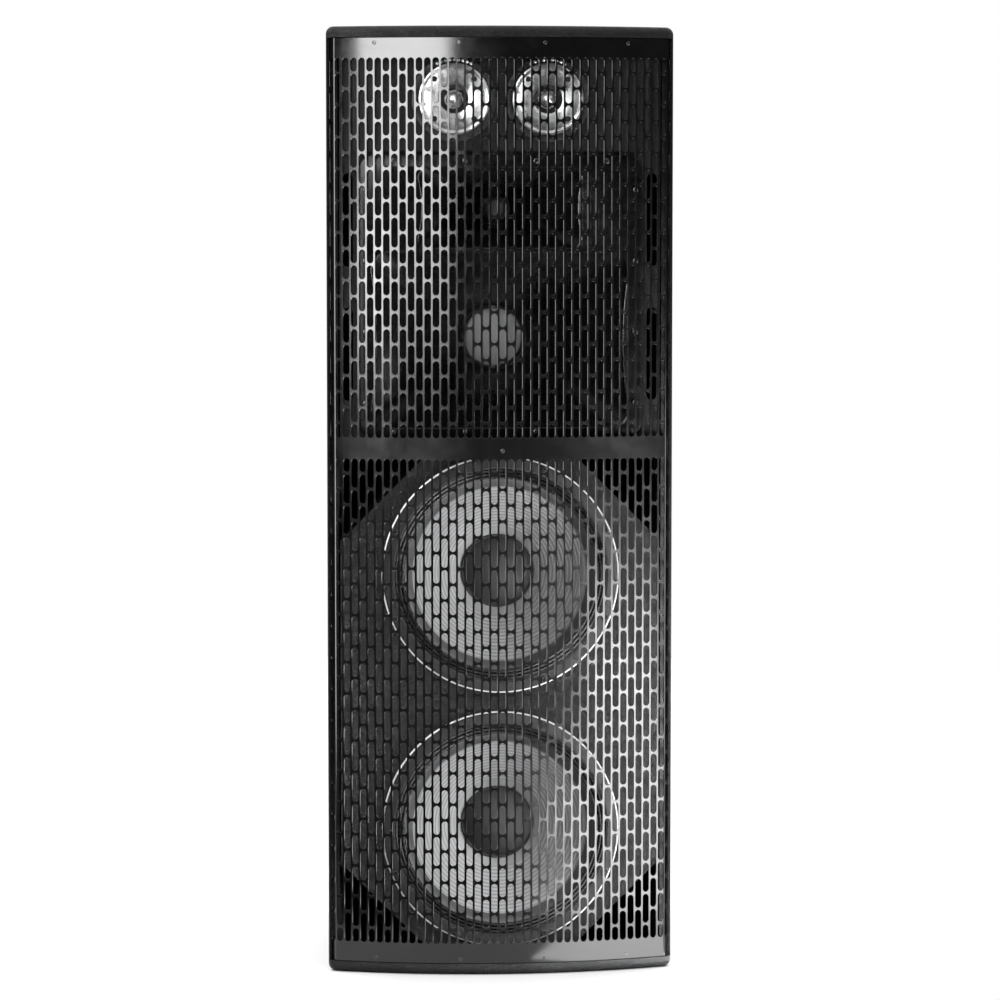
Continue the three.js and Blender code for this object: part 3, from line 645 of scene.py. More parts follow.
def on_grille(s, z, depth=0.0):
    """Point on the folded grille: s is the way along its front from the middle, depth goes in."""
    sign = 1 if s >= 0 else -1
    way = abs(s)
    slope = min(way, BEND_AT) / GRILLE_RADIUS
    x = GRILLE_RADIUS * math.sin(slope)
    y = BOW_CENTRE_Y - GRILLE_RADIUS * math.cos(slope)
    if way > BEND_AT:
        slope = BEND_START + (min(way, BEND_DONE) - BEND_AT) / BEND_RADIUS
        x += BEND_RADIUS * (math.sin(slope) - math.sin(BEND_START))
        y += BEND_RADIUS * (math.cos(BEND_START) - math.cos(slope))
        straight = max(0.0, way - BEND_DONE)
        x += straight * math.cos(slope)
        y += straight * math.sin(slope)
    return (sign * (x - depth * math.sin(slope)), y + depth * math.cos(slope), z)


def slot_outline(middle, low, high, growth):
    """Upright slot with round ends, from its right side upwards."""
    inset = SLOT_BRIDGE / 2 + SLOT_HALF
    top = arc((middle, high - inset), SLOT_HALF + growth, 0, math.pi, 6)
    bottom = arc((middle, low + inset), SLOT_HALF + growth, math.pi, 2 * math.pi, 6)
    return top, bottom


class Sheet:
    """Front and back of the grille, with corners shared by place."""

    def __init__(self):
        self.shape = Shape()
        self.known = {}

    def corner(self, s, z, depth):
        """Number of the corner at a place, made when it is new."""
        key = (round(s, 3), round(z, 3), round(depth, 3))
        if key not in self.known:
            self.known[key] = len(self.shape.corners)
            self.shape.corners.append(Vector(on_grille(s, z, depth)))
        return self.known[key]

    def face(self, points, depth):
        """Flat face through places at one depth."""
        self.shape.faces.append(tuple(self.corner(s, z, depth) for s, z in points))

    def wall(self, points, front, back, back_points=None):
        """Wall round a hole between two depths, straight or with other places at its back."""
        other = back_points or points
        for i in range(len(points)):
            j = (i + 1) % len(points)
            self.shape.faces.append((
                self.corner(*points[i], front), self.corner(*points[j], front),
                self.corner(*other[j], back), self.corner(*other[i], back),
            ))

    def rim(self, start, end):
        """Strip of the sheet's edge between two places."""
        self.shape.faces.append((
            self.corner(*start, 0.0), self.corner(*end, 0.0),
            self.corner(*end, GRILLE_THICKNESS), self.corner(*start, GRILLE_THICKNESS),
        ))

    def patch(self, left, right, low, high):
        """Solid patch of the sheet, with corners where the neighbouring cells have theirs."""
        for depth in (0.0, GRILLE_THICKNESS):
            self.face([(left, low), (right, low), (right, high), (left, high)], depth)

    def cell(self, left, right, middle, low, high):
        """One slot and the metal round it."""
        heights = [low, high] if high - low < 0.75 * CELL else [low, (low + high) / 2, high]
        for depth, growth in ((0.0, SLOT_BEVEL), (GRILLE_THICKNESS, 0.0)):
            top, bottom = slot_outline(middle, low, high, growth)
            self.face([(right, z) for z in heights] + [top[0], bottom[-1]], depth)
            self.face([(right, high), (left, high)] + top[::-1], depth)
            self.face([(left, z) for z in heights[::-1]] + [bottom[0], top[-1]], depth)
            self.face([(left, low), (right, low)] + bottom[::-1], depth)
        wide = sum(slot_outline(middle, low, high, SLOT_BEVEL), [])
        narrow = sum(slot_outline(middle, low, high, 0.0), [])
        self.wall(wide, 0.0, SLOT_BEVEL, narrow)
        self.wall(narrow, SLOT_BEVEL, GRILLE_THICKNESS)


def cell_levels(low, high, full_first):
    """Ends of the cells of one column, from the bottom up."""
    levels = [low]
    if not full_first:
        levels.append(low + CELL / 2)
    while high - levels[-1] > 1:
        levels.append(min(high, levels[-1] + CELL))
    return levels


def column_bounds():
    """Left, right and middle of every column of slots across the front and on the folded flanges."""
    last = 20
    columns = []
    for i in range(-last, last + 1):
        middle = i * COLUMN_PITCH
        left = -BEND_AT if i == -last else middle - COLUMN_PITCH / 2
        right = BEND_AT if i == last else middle + COLUMN_PITCH / 2
        columns.append((i, left, right, middle))
    flange_middle = (BEND_DONE + FLANGE_END) / 2
    columns.append((last + 1, BEND_DONE, FLANGE_END, flange_middle))
    columns.append((-last - 1, -FLANGE_END, -BEND_DONE, -flange_middle))
    return columns


def field_cells(index):
    """Cells of one column in the lower and upper fields of slots."""
    even = index % 2 == 0
    for low, high in FIELDS:
        levels = cell_levels(low, high, not even)
        yield from zip(levels, levels[1:])


def band_levels():
    """Lower and upper edge of the plain bands below, between and above the fields of slots."""
    edges = [GRILLE_BOTTOM, *FIELDS[0], *FIELDS[1], GRILLE_TOP]
    return list(zip(edges[::2], edges[1::2]))


def edge_levels():
    """Every height at which a column of slots may have a corner, from bottom to top."""
    levels = [GRILLE_BOTTOM]
    for low, high in FIELDS:
        count = round((high - low) / (CELL / 2))
        levels += [low + (high - low) * k / count for k in range(count + 1)]
    return levels + [GRILLE_TOP]


def grille():
    """The bowed steel sheet, punched with staggered slots and folded back at its sides."""
    sheet = Sheet()
    columns = column_bounds()
    for index, left, right, middle in columns:
        for low, high in field_cells(index):
            sheet.cell(left, right, middle, low, high)
        for low, high in band_levels():
            sheet.patch(left, right, low, high)
        for z in (GRILLE_BOTTOM, GRILLE_TOP):
            sheet.rim((left, z), (right, z))
    levels = edge_levels()
    steps = 4
    fold = [BEND_AT + (BEND_DONE - BEND_AT) * k / steps for k in range(steps + 1)]
    for sign in SIDES.values():
        for low, high in zip(levels, levels[1:]):
            for start, end in zip(fold, fold[1:]):
                sheet.patch(sign * start, sign * end, low, high)
            sheet.rim((sign * FLANGE_END, low), (sign * FLANGE_END, high))
        for z in (GRILLE_BOTTOM, GRILLE_TOP):
            for start, end in zip(fold, fold[1:]):
                sheet.rim((sign * start, z), (sign * end, z))
    make("slotted_grille", sheet.shape, GRILLE_STEEL, stands_for=["grille"])


def grille_screws():
    """Small countersunk screws that hold the sheet at its top, middle and bottom bands."""
    top_z, bottom_z, middle_z = 1503.0, 25.5, 851.0
    spots = [(s, z) for z in (top_z, bottom_z) for s in (-206.0, -68.65, 68.65, 206.0)] + [(0.0, middle_z)]
    places = [at(*on_grille(s, z), s / GRILLE_RADIUS) for s, z in spots]
    screws("grille_screws", places, 3.3, 0.9)


# ---- Woofers ----

CONE_RADIUS = 156
NECK_RADIUS = 51.5
CONE_FRONT = 54
CONE_FALL = 77
FRAME_RADIUS = 190.4
FRAME_FACE = 46.6
FRAME_SCREW_RADIUS = 185.5
CLOTH_THICKNESS = 0.8


def cone_depth(radius):
    """Depth of the cone's front face: slightly curved, deepest at the neck."""
    share = (CONE_RADIUS - radius) / (CONE_RADIUS - NECK_RADIUS)
    return CONE_FRONT + CONE_FALL * share ** 0.92


def sheet_profile(front, thickness):
    """Closed profile of a thin turned sheet from its front points."""
    return front + [(radius, depth + thickness) for radius, depth in reversed(front)]


def spoke(inner, outer, inner_half, outer_half, thickness):
    """One tapering arm of a basket, between two (radius, depth) points."""
    corners = []
    for (radius, depth), half in ((inner, inner_half), (outer, outer_half)):
        for x, lift in ((-half, 0), (half, 0), (0.8 * half, thickness), (-0.8 * half, thickness)):
            corners.append((x, FRONT + depth + lift, radius + 0.4 * lift))
    faces = [(0, 1, 2, 3), (7, 6, 5, 4), (0, 4, 5, 1), (1, 5, 6, 2), (2, 6, 7, 3), (3, 7, 4, 0)]
    return Shape().add(corners, faces)


def turned_at(z, profile, turn=FINE_TURN, x=0.0):
    """Lathed body from (radius, depth) points at a place on the front."""
    return Shape().join(lathe([(r, FRONT + d) for r, d in profile], turn), at(x, 0, z))


def woofer_frame(name, z):
    """Cast basket of a ring, a back and six arms, with a bright machined edge."""
    shape = turned_at(z, closed([
        (FRAME_RADIUS, 52), (FRAME_RADIUS, 49.2), (172, 49.2), (172, 52.5), (165, 54.5), (160, 74), (165, 80),
        (170, 78), (173, 55.5), (FRAME_RADIUS, 55.5),
    ], 1.2))
    back = closed([(80, 152), (60, 152), (60, 158), (100, 158), (102, 148), (94, 147)], 1)
    shape.join(turned_at(z, back))
    arms = 6
    for k in range(arms):
        arm = spoke((97, 148), (164, 76), 15, 27, 6)
        shape.join(arm, Matrix.Translation((0, 0, z)) @ Matrix.Rotation(2 * math.pi * k / arms, 4, "Y"))
    make(f"{name}_basket", shape, CAST_FRAME, stands_for=[f"{name}_frame"])
    inner, outer = FRAME_RADIUS + 0.2, FRAME_RADIUS + 2.4
    rim = closed([(inner, 53), (inner, 48.9), (outer, 48.9), (outer, 55.6), (inner, 55.6)], 0.6)
    make(f"{name}_frame_edge", turned_at(z, rim), BARE_EDGE)


def flexing_ring(name, z, front, body, stands_for):
    """Turned cloth whose outer edge keeps still while its inner edge follows a moving body."""
    inner, outer = front[0][0], front[-1][0]
    ring = turned_at(z, sheet_profile(front, CLOTH_THICKNESS))
    piece = make(name, ring, SURROUND_CLOTH, None, [stands_for], sharp=60)
    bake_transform(piece, "cabinet", body, start=(outer * MM, 0, z * MM), end=(inner * MM, 0, z * MM))
    centre = Vector((0, 0, z * MM))
    for vertex, weight in zip(piece.data.vertices, piece.data.attributes["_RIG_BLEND"].data):
        radius = (vertex.co - centre).xz.length / MM
        share = min(1.0, max(0.0, (outer - radius) / (outer - inner)))
        weight.value = share * share * (3 - 2 * share)


def woofer_surround(name, z):
    """Three half-rolls of doped cloth between the cone and the frame."""
    steps, rolls = 36, 3
    inner, outer = 155.6, 172.4
    front = []
    for k in range(steps + 1):
        share = k / steps
        lift = abs(math.sin(math.pi * rolls * share)) ** 0.8
        front.append((inner + (outer - inner) * share, 51.3 - 2.9 * lift))
    flexing_ring(f"{name}_rolls", z, front, f"{name}_moving", f"{name}_surround")


def mid_surround():
    """Single half-roll round the midrange cone."""
    steps, inner, outer = 12, 78.5, 87.5
    shares = [k / steps for k in range(steps + 1)]
    front = [(inner + (outer - inner) * share, 238.6 - 1.5 * math.sin(math.pi * share)) for share in shares]
    flexing_ring("mf_roll", MID_HORN["z"], front, "mf_moving", "mf_surround")


def woofer_cone(name, z):
    """Ribbed paper cone with its edge cloth, its dust cap and the glue round the cap."""
    body = f"{name}_moving"
    edge = [(155.4 - 0.1 * k, cone_depth(155.4 - 0.1 * k) - 0.5) for k in (0, 40, 80, 120, 134)]
    make(f"{name}_cone_edge", turned_at(z, sheet_profile(edge, 1.9)), CONE_EDGE, body)
    rib_pitch, rib_height, rib_start, fine = 5.2, 0.6, 73.0, 0.65
    front = []
    radius = 142.5
    while radius > 52:
        phase = 2 * math.pi * max(0.0, radius - rib_start) / rib_pitch
        front.append((radius, cone_depth(radius) + rib_height * math.cos(phase)))
        radius -= fine if radius > rib_start else 4 * fine
    back = [(r, cone_depth(r) + 1.7) for r in (52, 70, 90, 110, 130, 142.5)]
    cone = turned_at(z, front + back)
    make(f"{name}_paper_cone", cone, CONE_PAPER, body, [f"{name}_cone"], sharp=50)
    dome = [(0, 101.0)] + [(56 * k / 16, 101 + 24 * (k / 16) ** 2) for k in range(1, 17)]
    cap = dome + [(57.5, 125.2), (57.5, 127.0), (55, 127.0)]
    cap += [(56 * k / 8, 102.6 + 24 * (k / 8) ** 2) for k in range(7, 0, -1)] + [(0, 102.6)]
    make(f"{name}_cap", turned_at(z, cap), CAP_CLOTH, body, [f"{name}_dust_cap"])
    bead = closed([(56.5, 124.6), (58.6, 122.2), (60.4, 124.9), (58.5, 127.0)], 1)
    make(f"{name}_cap_glue", turned_at(z, bead), GASKET_FOAM, body)


def woofer(level):
    """Frame, cloth, cone, foam ring and screws of one woofer."""
    name, z = f"lf_{level}", WOOFER_Z[level]
    woofer_frame(name, z)
    woofer_surround(name, z)
    woofer_cone(name, z)
    pad = closed([(182, 48.8), (174.6, 48.8), (174.6, FRAME_FACE), (190.2, FRAME_FACE), (190.2, 48.8)], 0.8)
    make(f"{name}_foam_ring", turned_at(z, pad), GASKET_FOAM, stands_for=[f"{name}_gasket"])
    spots = arc((0, z), FRAME_SCREW_RADIUS, math.pi / 8, math.pi * 15 / 8, 7)
    places = [at(x, FRONT + FRAME_FACE, screw_z) for x, screw_z in spots]
    screws(f"{name}_screws", places, 5.0, 2.8)


# ---- Horns ----

MID_HORN = {"z": 1027.0, "half_x": 206.7, "half_z": 141.0, "corner": 29.0, "pinch": 9.0,
            "throat": 52.0, "depth": 230.0}
HIGH_HORN = {"z": 1240.0, "half_x": 130.7, "half_z": 64.0, "corner": 16.0, "pinch": 6.0,
             "throat": 18.5, "depth": 168.0}
HORN_FRONT = 48.0
HORN_BACK = 55.7


def horn_section(horn, openness, growth):
    """Rounded rectangle with inward-curving uprights, narrowing to a circle at the throat."""
    def opened(key, amount):
        return horn["throat"] + (horn[key] - horn["throat"]) * amount + growth

    share = 0.72 * openness + 0.28 * openness ** 3
    half_x, half_z = opened("half_x", share), opened("half_z", share)
    corner = min(opened("corner", min(1, openness * 1.6)), half_x, half_z)
    pinch = horn["pinch"] * share
    straight = half_z - corner
    points = []
    for sign in (1, -1):
        centres = [(sign * (half_x - corner), -sign * straight), (sign * (half_x - corner), sign * straight)]
        start = -math.pi / 2 if sign == 1 else math.pi / 2
        points += arc(centres[0], corner, start, start + math.pi / 2, 8)
        for k in range(1, 12):
            along = 2 * k / 12 - 1
            points.append((sign * (half_x - pinch * (1 - along ** 2)), sign * along * straight))
        points += arc(centres[1], corner, start + math.pi / 2, start + math.pi, 8)
    return [(x, horn["z"] + z) for x, z in points]


def horn_wall(horn, front_depth):
    """Curved wall of a horn from its mouth to its throat."""
    thickness, steps = 3.5, 20

    def ring(k, growth):
        y = FRONT + front_depth + (horn["depth"] - front_depth) * k / steps
        return [(x, y, z) for x, z in horn_section(horn, 1 - k / steps, growth)]

    inside = [ring(k, 0.0) for k in range(steps + 1)]
    return tunnel(inside + [ring(k, thickness) for k in range(steps, -1, -1)])


def horn_moulding():
    """One black moulding: a square flange with the midrange and treble horns."""
    rim = rounded_rectangle(229, 229, 27, (0, HORN_Z), 10)
    mouths = [horn_section(horn, 1.0, 0.0) for horn in (MID_HORN, HIGH_HORN)]
    shape = plate([rim] + mouths, FRONT + HORN_FRONT, FRONT + HORN_BACK, 1.8)
    for horn in (MID_HORN, HIGH_HORN):
        shape.join(horn_wall(horn, HORN_FRONT + 2.5))
    for horn, radius in ((MID_HORN, 108), (HIGH_HORN, 44)):
        flange = square_ring(horn["throat"] + 0.5, radius, horn["depth"] - 6, horn["depth"], 0.8)
        shape.join(turned_at(horn["z"], flange, 96))
    make("double_horn", shape, HORN_PLASTIC, stands_for=["horn_moulding"])
    for name, horn in (("mf", MID_HORN), ("hf", HIGH_HORN)):
        lip = [(-0.1, 50.6), (-0.1, 48.9), (0.5, 48.0), (1.6, 47.6), (2.6, 47.8), (2.6, 50.6)]
        rings = [
            [(x, FRONT + depth, z) for x, z in horn_section(horn, 1.0, growth)] for growth, depth in lip
        ]
        make(f"{name}_mouth_lip", tunnel(rings), HORN_GLOSS)
    places = []
    line = 218.3
    for offset in (-172.0, -57.3, 57.3, 172.0):
        for x, z in ((offset, line), (offset, -line), (line, offset), (-line, offset)):
            places.append(at(x, FRONT + HORN_FRONT, HORN_Z + z))
    screws("horn_screws", places, 4.6, 2.4)


def phase_plugs():
    """Grey felted plugs across the midrange throat and in the treble throat."""
    z = MID_HORN["z"]
    shape = turned_at(z, square_ring(57, 107.5, 230.4, 233.6, 0.6), 96)
    disc = rounded([(0, 226.1), (46.5, 226.3), (48, 228), (48, 233.5), (0, 233.5)], 1.5)
    shape.join(turned_at(z, disc, 96))
    bar = upright_bar(59, 3, 1, FRONT + 230.6, FRONT + 233.4)
    for turn in (0, math.pi / 2):
        shape.join(bar, Matrix.Translation((0, 0, z)) @ Matrix.Rotation(turn, 4, "Y"))
    make("mf_throat_plug", shape, PLUG_FELT, stands_for=["mf_phase_plug"])
    tip = rounded([(0, 170.6), (12.5, 171), (18, 178), (33, 205), (0, 205)], 2)
    make("hf_throat_plug", turned_at(HIGH_HORN["z"], tip, 64), PLUG_FELT,
         stands_for=["hf_phase_plug"])


# ---- Bullet tweeters ----

def tweeter(side):
    """Bullet tweeter: black flange with a crown of bright teeth, polished horn, black discs on its four holes
    as painted shade, a black ring over its inner throat as painted shade, and bullet.
    """
    name, x = f"tweeter_{side}", SIDES[side] * TWEETER_X
    flange = rounded([
        (58, 41.6), (58, 36.1), (68, 36.1), (68, 41.6), (51, 41.6), (51, 38), (58, 38),
    ], 1.0)[:-1]
    disc = closed([
        (49.5, 45), (49.5, 60), (17.4, 60), (17.4, 48), (18.5, 41), (23, 34.6), (28, 33.2), (38, 32.2),
        (47, 32.6), (49.4, 33.8), (51.2, 33.8), (52.6, 31.0), (54.4, 30.2), (57.5, 30.9), (57.5, 35.6),
        (49.5, 35.8),
    ], 1.2)
    # Black ring laid over the inner flare of the horn: painted shade for the dark bore round the bullet.
    shade_lining = closed([
        (17, 50), (15.2, 50), (16.4, 41), (20, 35.4), (22.6, 33.6), (22.9, 34.2), (18, 40.8),
    ], 0.6)
    tip = rounded([
        (0, 33), (4, 33.4), (8, 36.2), (10.4, 40.5), (11.3, 47), (10, 60), (10, 65.6), (0, 65.6),
    ], 2.0)
    for piece, profile, turn, material, slot, node in (
        ("mount_ring", flange, 96, FLANGE_PLASTIC, "tweeter_black", "flange"),
        ("bright_horn", disc, 96, SILVER, "tweeter_silver", "horn"),
        ("throat_ring", shade_lining, 96, GASKET_FOAM, "tweeter_black", None),
        ("bright_bullet", tip, 64, SILVER, "tweeter_silver", "bullet"),
    ):
        stands_for = [f"{name}_{node}"] if node else []
        make(f"{name}_{piece}", turned_at(TWEETER_Z, profile, turn, x), material, stands_for=stands_for)
    # Flat black discs on the bright horn at its four diagonal holes: painted shade for the holes' recesses.
    shade_disc_radius, disc_face = 45, 31.9
    mount_radius, crown_radius, flange_face = 62.7, 62.6, 36.1
    shade_discs, mounts = Shape(), []
    shade_disc = lathe(rounded([(0, 0.1), (2.6, 0.0), (4.4, -0.35), (4.6, 0.8), (0, 1.0)], 0.3), 24)
    for k in range(4):
        angle = math.radians(45 + 90 * k)
        dx, dz = math.cos(angle), math.sin(angle)
        shade_discs.join(shade_disc, at(x + shade_disc_radius * dx, FRONT + disc_face, TWEETER_Z + shade_disc_radius * dz))
        mounts.append(at(x + mount_radius * dx, FRONT + flange_face, TWEETER_Z + mount_radius * dz))
    make(f"{name}_hole_plugs", shade_discs, GASKET_FOAM)
    teeth = Shape()
    tooth = lathe(rounded([(0, -3.0), (1.6, -2.7), (2.6, -1.4), (2.8, 0.4), (0, 0.4)], 0.9, 5), 24)
    crown_start, crown_end = math.radians(64.4), math.radians(115.6)
    for tooth_x, tooth_z in arc((x, TWEETER_Z), crown_radius, crown_start, crown_end, 8):
        teeth.join(tooth, at(tooth_x, FRONT + flange_face, tooth_z))
    make(f"{name}_crown", teeth, SILVER)
    screws(f"{name}_screws", mounts, 3.4, 1.9)


# ---- Handles and input plate ----

def handle(side, level):
    """Pressed steel cup with a round grip bar, set into the side board."""
    size = HANDLE_SIZE
    wall, lip, proud = 2.2, 14.0, 2.2
    floor = size["depth"] - 3
    cup = pressed(size["half_length"], size["half_height"], rounded([
        (-wall - 5, floor), (-wall, floor - 4), (-wall, 3), (0.5, -proud), (lip, -proud), (lip, -0.35),
        (1, -0.35), (0, 4), (0, floor + wall - 4), (-5, floor + wall),
    ], 3.0, 5), size["corner"])
    bar_half = size["half_length"] - 1.5
    bar = lathe(rounded([
        (0, -bar_half), (14, -bar_half), (14, -bar_half + 4), (10, -bar_half + 10),
        (10, bar_half - 10), (14, bar_half - 4), (14, bar_half), (0, bar_half),
    ], 3), SMALL_TURN)
    cup.join(bar, Matrix.Translation((0, 14, 0)) @ Matrix.Rotation(math.pi / 2, 4, "Z"))
    sign = SIDES[side]
    place = at(sign * side_x(0, HANDLE_Y), HANDLE_Y, HANDLE_Z[level], sign * SIDE_FACING)
    name = f"handle_{level}_{side}"
    make(f"{name}_cup", Shape().join(cup, place), HANDLE_STEEL, stands_for=[name])
    row = size["half_height"] + lip / 2 + 0.3
    column = size["half_length"] + lip / 2 + 0.3
    spots = [(sx * dx, sz * row) for sx in (-1, 1) for sz in (-1, 1) for dx in (28, 82)]
    spots += [(sx * column, sz * 27) for sx in (-1, 1) for sz in (-1, 1)]
    places = [place @ at(x, -proud, z) for x, z in spots]
    screws(f"{name}_screws", places, 3.8, 0.08)


def input_plate():
    """Recessed steel connector plate on the back, with its screws."""
    shape = pressed(82, 52, rounded([
        (-8, 20), (-3, 20), (-2, 3), (0.5, 0), (17.9, 0), (17.9, 2), (2, 2), (0, 4), (0, 22), (-8, 22),
    ], 1.5), 8)
    place = at(0, REAR - 0.2, INPUT_Z, math.pi)
    make("input_dish", Shape().join(shape, place), INPUT_STEEL, stands_for=["input_panel"])
    spots = [(sx * dx, sz * 61) for sx in (-1, 1) for sz in (-1, 1) for dx in (31, 91)]
    places = [place @ at(x, 0, z) for x, z in spots]
    screws("input_screws", places, 3.6, 0.09)


def input_socket(side):
    """Round locking speaker socket on a square flange, with a keyed core."""
    shape = loft([[(x, depth, z) for x, z in rounded_rectangle(13 + grow, 15.5 + grow, 3 + grow)]
                  for grow, depth in ((0, 19.6), (0, 18.0), (-0.8, 17.2))])
    shape.join(lathe(closed([(11.5, 18), (15, 18), (15, 5.5), (13.5, 3.8), (10, 3.8), (10, 18)], 0.8), 64))
    shape.join(lathe(rounded([(0, 6.5), (5.2, 6.5), (6.4, 8), (6.4, 18.5), (0, 18.5)], 0.8), SMALL_TURN))
    key = upright_bar(1.5, 1.6, 0.4, 8, 18.2, 8.6)
    for k in range(4):
        shape.join(key, Matrix.Rotation(math.pi / 2 * k + math.pi / 4, 4, "Y"))
    place = at(SIDES[side] * 38, REAR - 0.2, INPUT_Z, math.pi)
    name = f"input_socket_{side}"
    make(f"{name}_shell", Shape().join(shape, place), SOCKET_PLASTIC, stands_for=[name])


# ---- CAD pieces that keep their own shape ----

def dress_cad_nodes():
    """Procedural finishes for the CAD pieces that stay."""
    finishes = (
        (CABINET_PAINT, ("rear_panel",)),
        (BAFFLE_PAINT, ("divider", "rail", "baffle", "port_board")),
        (SPIDER_CLOTH, ("spider",)),
        (COPPER, ("voice_coil",)),
        (FERRITE, ("magnet", "motor", "driver_body")),
        (CAST_FRAME, ("driver_frame", "driver_cap")),
        (CONE_PAPER, ("mf_cone",)),
        (TITANIUM, ("diaphragm",)),
        (CIRCUIT, ("crossover_board",)),
    )
    for name, node in frame["nodes"].items():
        if node.hide_render:
            continue
        material = next(finish for finish, words in finishes if any(word in name for word in words))
        for slot in node.material_slots:
            slot.material = material


# ---- Studio ----

def studio_stage():
    """Pale round floor that ends a short way in front, so that only the foot of the grille mirrors it."""
    radius, middle_y, turn = 2450.0, 1800.0, 96
    turns = [2 * math.pi * k / turn for k in range(turn)]
    rim = [(radius * math.cos(angle), middle_y + radius * math.sin(angle)) for angle in turns]
    mesh = bpy.data.meshes.new("floor")
    mesh.from_pydata([(x * MM, y * MM, 0) for x, y in rim], [], [tuple(range(turn))])
    mesh.materials.append(studio_floor("floor_paint"))
    floor = bpy.data.objects.new("floor", mesh)
    bpy.context.scene.collection.objects.link(floor)


def aim(lights, group_name, piece_names, state="INCLUDE"):
    """Makes lights reach only the named pieces, or, with EXCLUDE, all the others."""
    group = bpy.data.collections.new(group_name)
    for name in piece_names:
        group.objects.link(bpy.data.objects[name])
    for entry in group.collection_objects:
        entry.light_linking.link_state = state
    for light in lights:
        light.light_linking.receiver_collection = group


def studio_light(name, azimuth, distance, z, tilt, width, length, radiance, rays):
    """Rectangular area light of a stated radiance, for some kinds of ray.

    Azimuth 0 is in front of the cabinet and 90 towards +X. Tilt 0 shines down, 90 at the cabinet, 180 up.
    """
    light = bpy.data.lights.new(name, "AREA")
    light.shape = "RECTANGLE"
    light.size = width
    light.size_y = length
    light.energy = radiance * math.pi * width * length
    holder = bpy.data.objects.new(name, light)
    angle = math.radians(azimuth)
    middle = distance * math.sin(angle), -distance * math.cos(angle), z
    turn = Matrix.Rotation(angle, 4, "Z") @ Matrix.Rotation(math.radians(tilt), 4, "X")
    holder.matrix_world = Matrix.Translation(middle) @ turn
    holder.visible_camera = False
    holder.visible_diffuse = "diffuse" in rays
    holder.visible_glossy = "glossy" in rays
    bpy.context.scene.collection.objects.link(holder)
    return holder


def upright_light(name, azimuth, distance, low_z, high_z, width, radiance, rays=("diffuse", "glossy")):
    """Upright light that faces the cabinet, from one height to another."""
    middle_z, length = (low_z + high_z) / 2, high_z - low_z
    return studio_light(name, azimuth, distance, middle_z, 90, width, length, radiance, rays)


def level_light(name, azimuth, near, far, z, tilt, width, radiance, rays=("diffuse", "glossy")):
    """Level light that lies along an azimuth, from near to far."""
    return studio_light(name, azimuth, (near + far) / 2, z, tilt, width, far - near, radiance, rays)


def pieces_with(*words):
    """Names of the objects in the scene, shown or hidden, whose name holds one of the words."""
    return [piece.name for piece in bpy.context.scene.objects if any(word in piece.name for word in words)]


DOWN, UP = 0, 180
# Steps of the lights that the grille mirrors: where each begins and ends, in metres, and its radiance.
SOFTBOX_STEPS = ((1.3, 3.1, 18.0), (1.05, 1.3, 15.0), (0.9, 1.05, 9.0), (0.76, 0.9, 1.2))
SOFTBOX_FOOT_STEPS = ((0.9, 1.2, 12.0), (0.8, 0.9, 4.0))
CARD_STEPS = ((0.02, 0.24, 25.0), (0.24, 0.34, 17.0), (0.34, 0.46, 5.0), (0.46, 0.6, 0.8))
GLOW_STEPS = ((0.35, 0.8, 7.0), (0.8, 1.5, 15.5), (1.5, 3.1, 18.5))


def mirrored_lights():
    """What the grille mirrors: a tall softbox on the left, fading downwards, and a low card on the right."""
    shine = ("glossy",)
    lights = []
    for name, steps, azimuth, distance, width in (
        ("left_softbox", SOFTBOX_STEPS, -21, 3.2, 1.3),
        ("left_softbox_foot", SOFTBOX_FOOT_STEPS, -29.5, 3.15, 0.5),
        ("right_card", CARD_STEPS, 34, 3.2, 1.0),
    ):
        for k, (low, high, radiance) in enumerate(steps):
            lights.append(upright_light(f"{name}_{k}", azimuth, distance, low, high, width, radiance, shine))
    for k, (near, far, radiance) in enumerate(GLOW_STEPS):
        for spread in (1, 2, 3):
            width = 0.09 * spread * (near + far)
            name = f"floor_glow_{k}_{spread}"
            lights.append(level_light(name, 33, near, far, 0.01, UP, width, radiance, shine))
    aim(lights, "not_mirroring", pieces_with("side_board", "top_board", "handle", "bright_horn"), "EXCLUDE")
    for side, radiance in (("left", 13.0), ("right", 7.5)):
        glow = upright_light(f"tweeter_{side}_glow", -21, 3.2, 0.9, 3.1, 1.3, radiance, shine)
        aim([glow], f"{side}_silver", [f"tweeter_{side}_bright_horn"])
    rimmed = pieces_with("slotted_grille", "grille_screws", "mouth_lip", "frame_edge")
    aim([upright_light("left_rim_card", -66, 2.6, 0.05, 1.75, 1.5, 11.0, shine)], "rimmed", rimmed)
    aim([upright_light("ring_glow", 0, 2.0, 0.1, 2.0, 3.0, 1.5, shine)], "rings", pieces_with("frame_edge"))


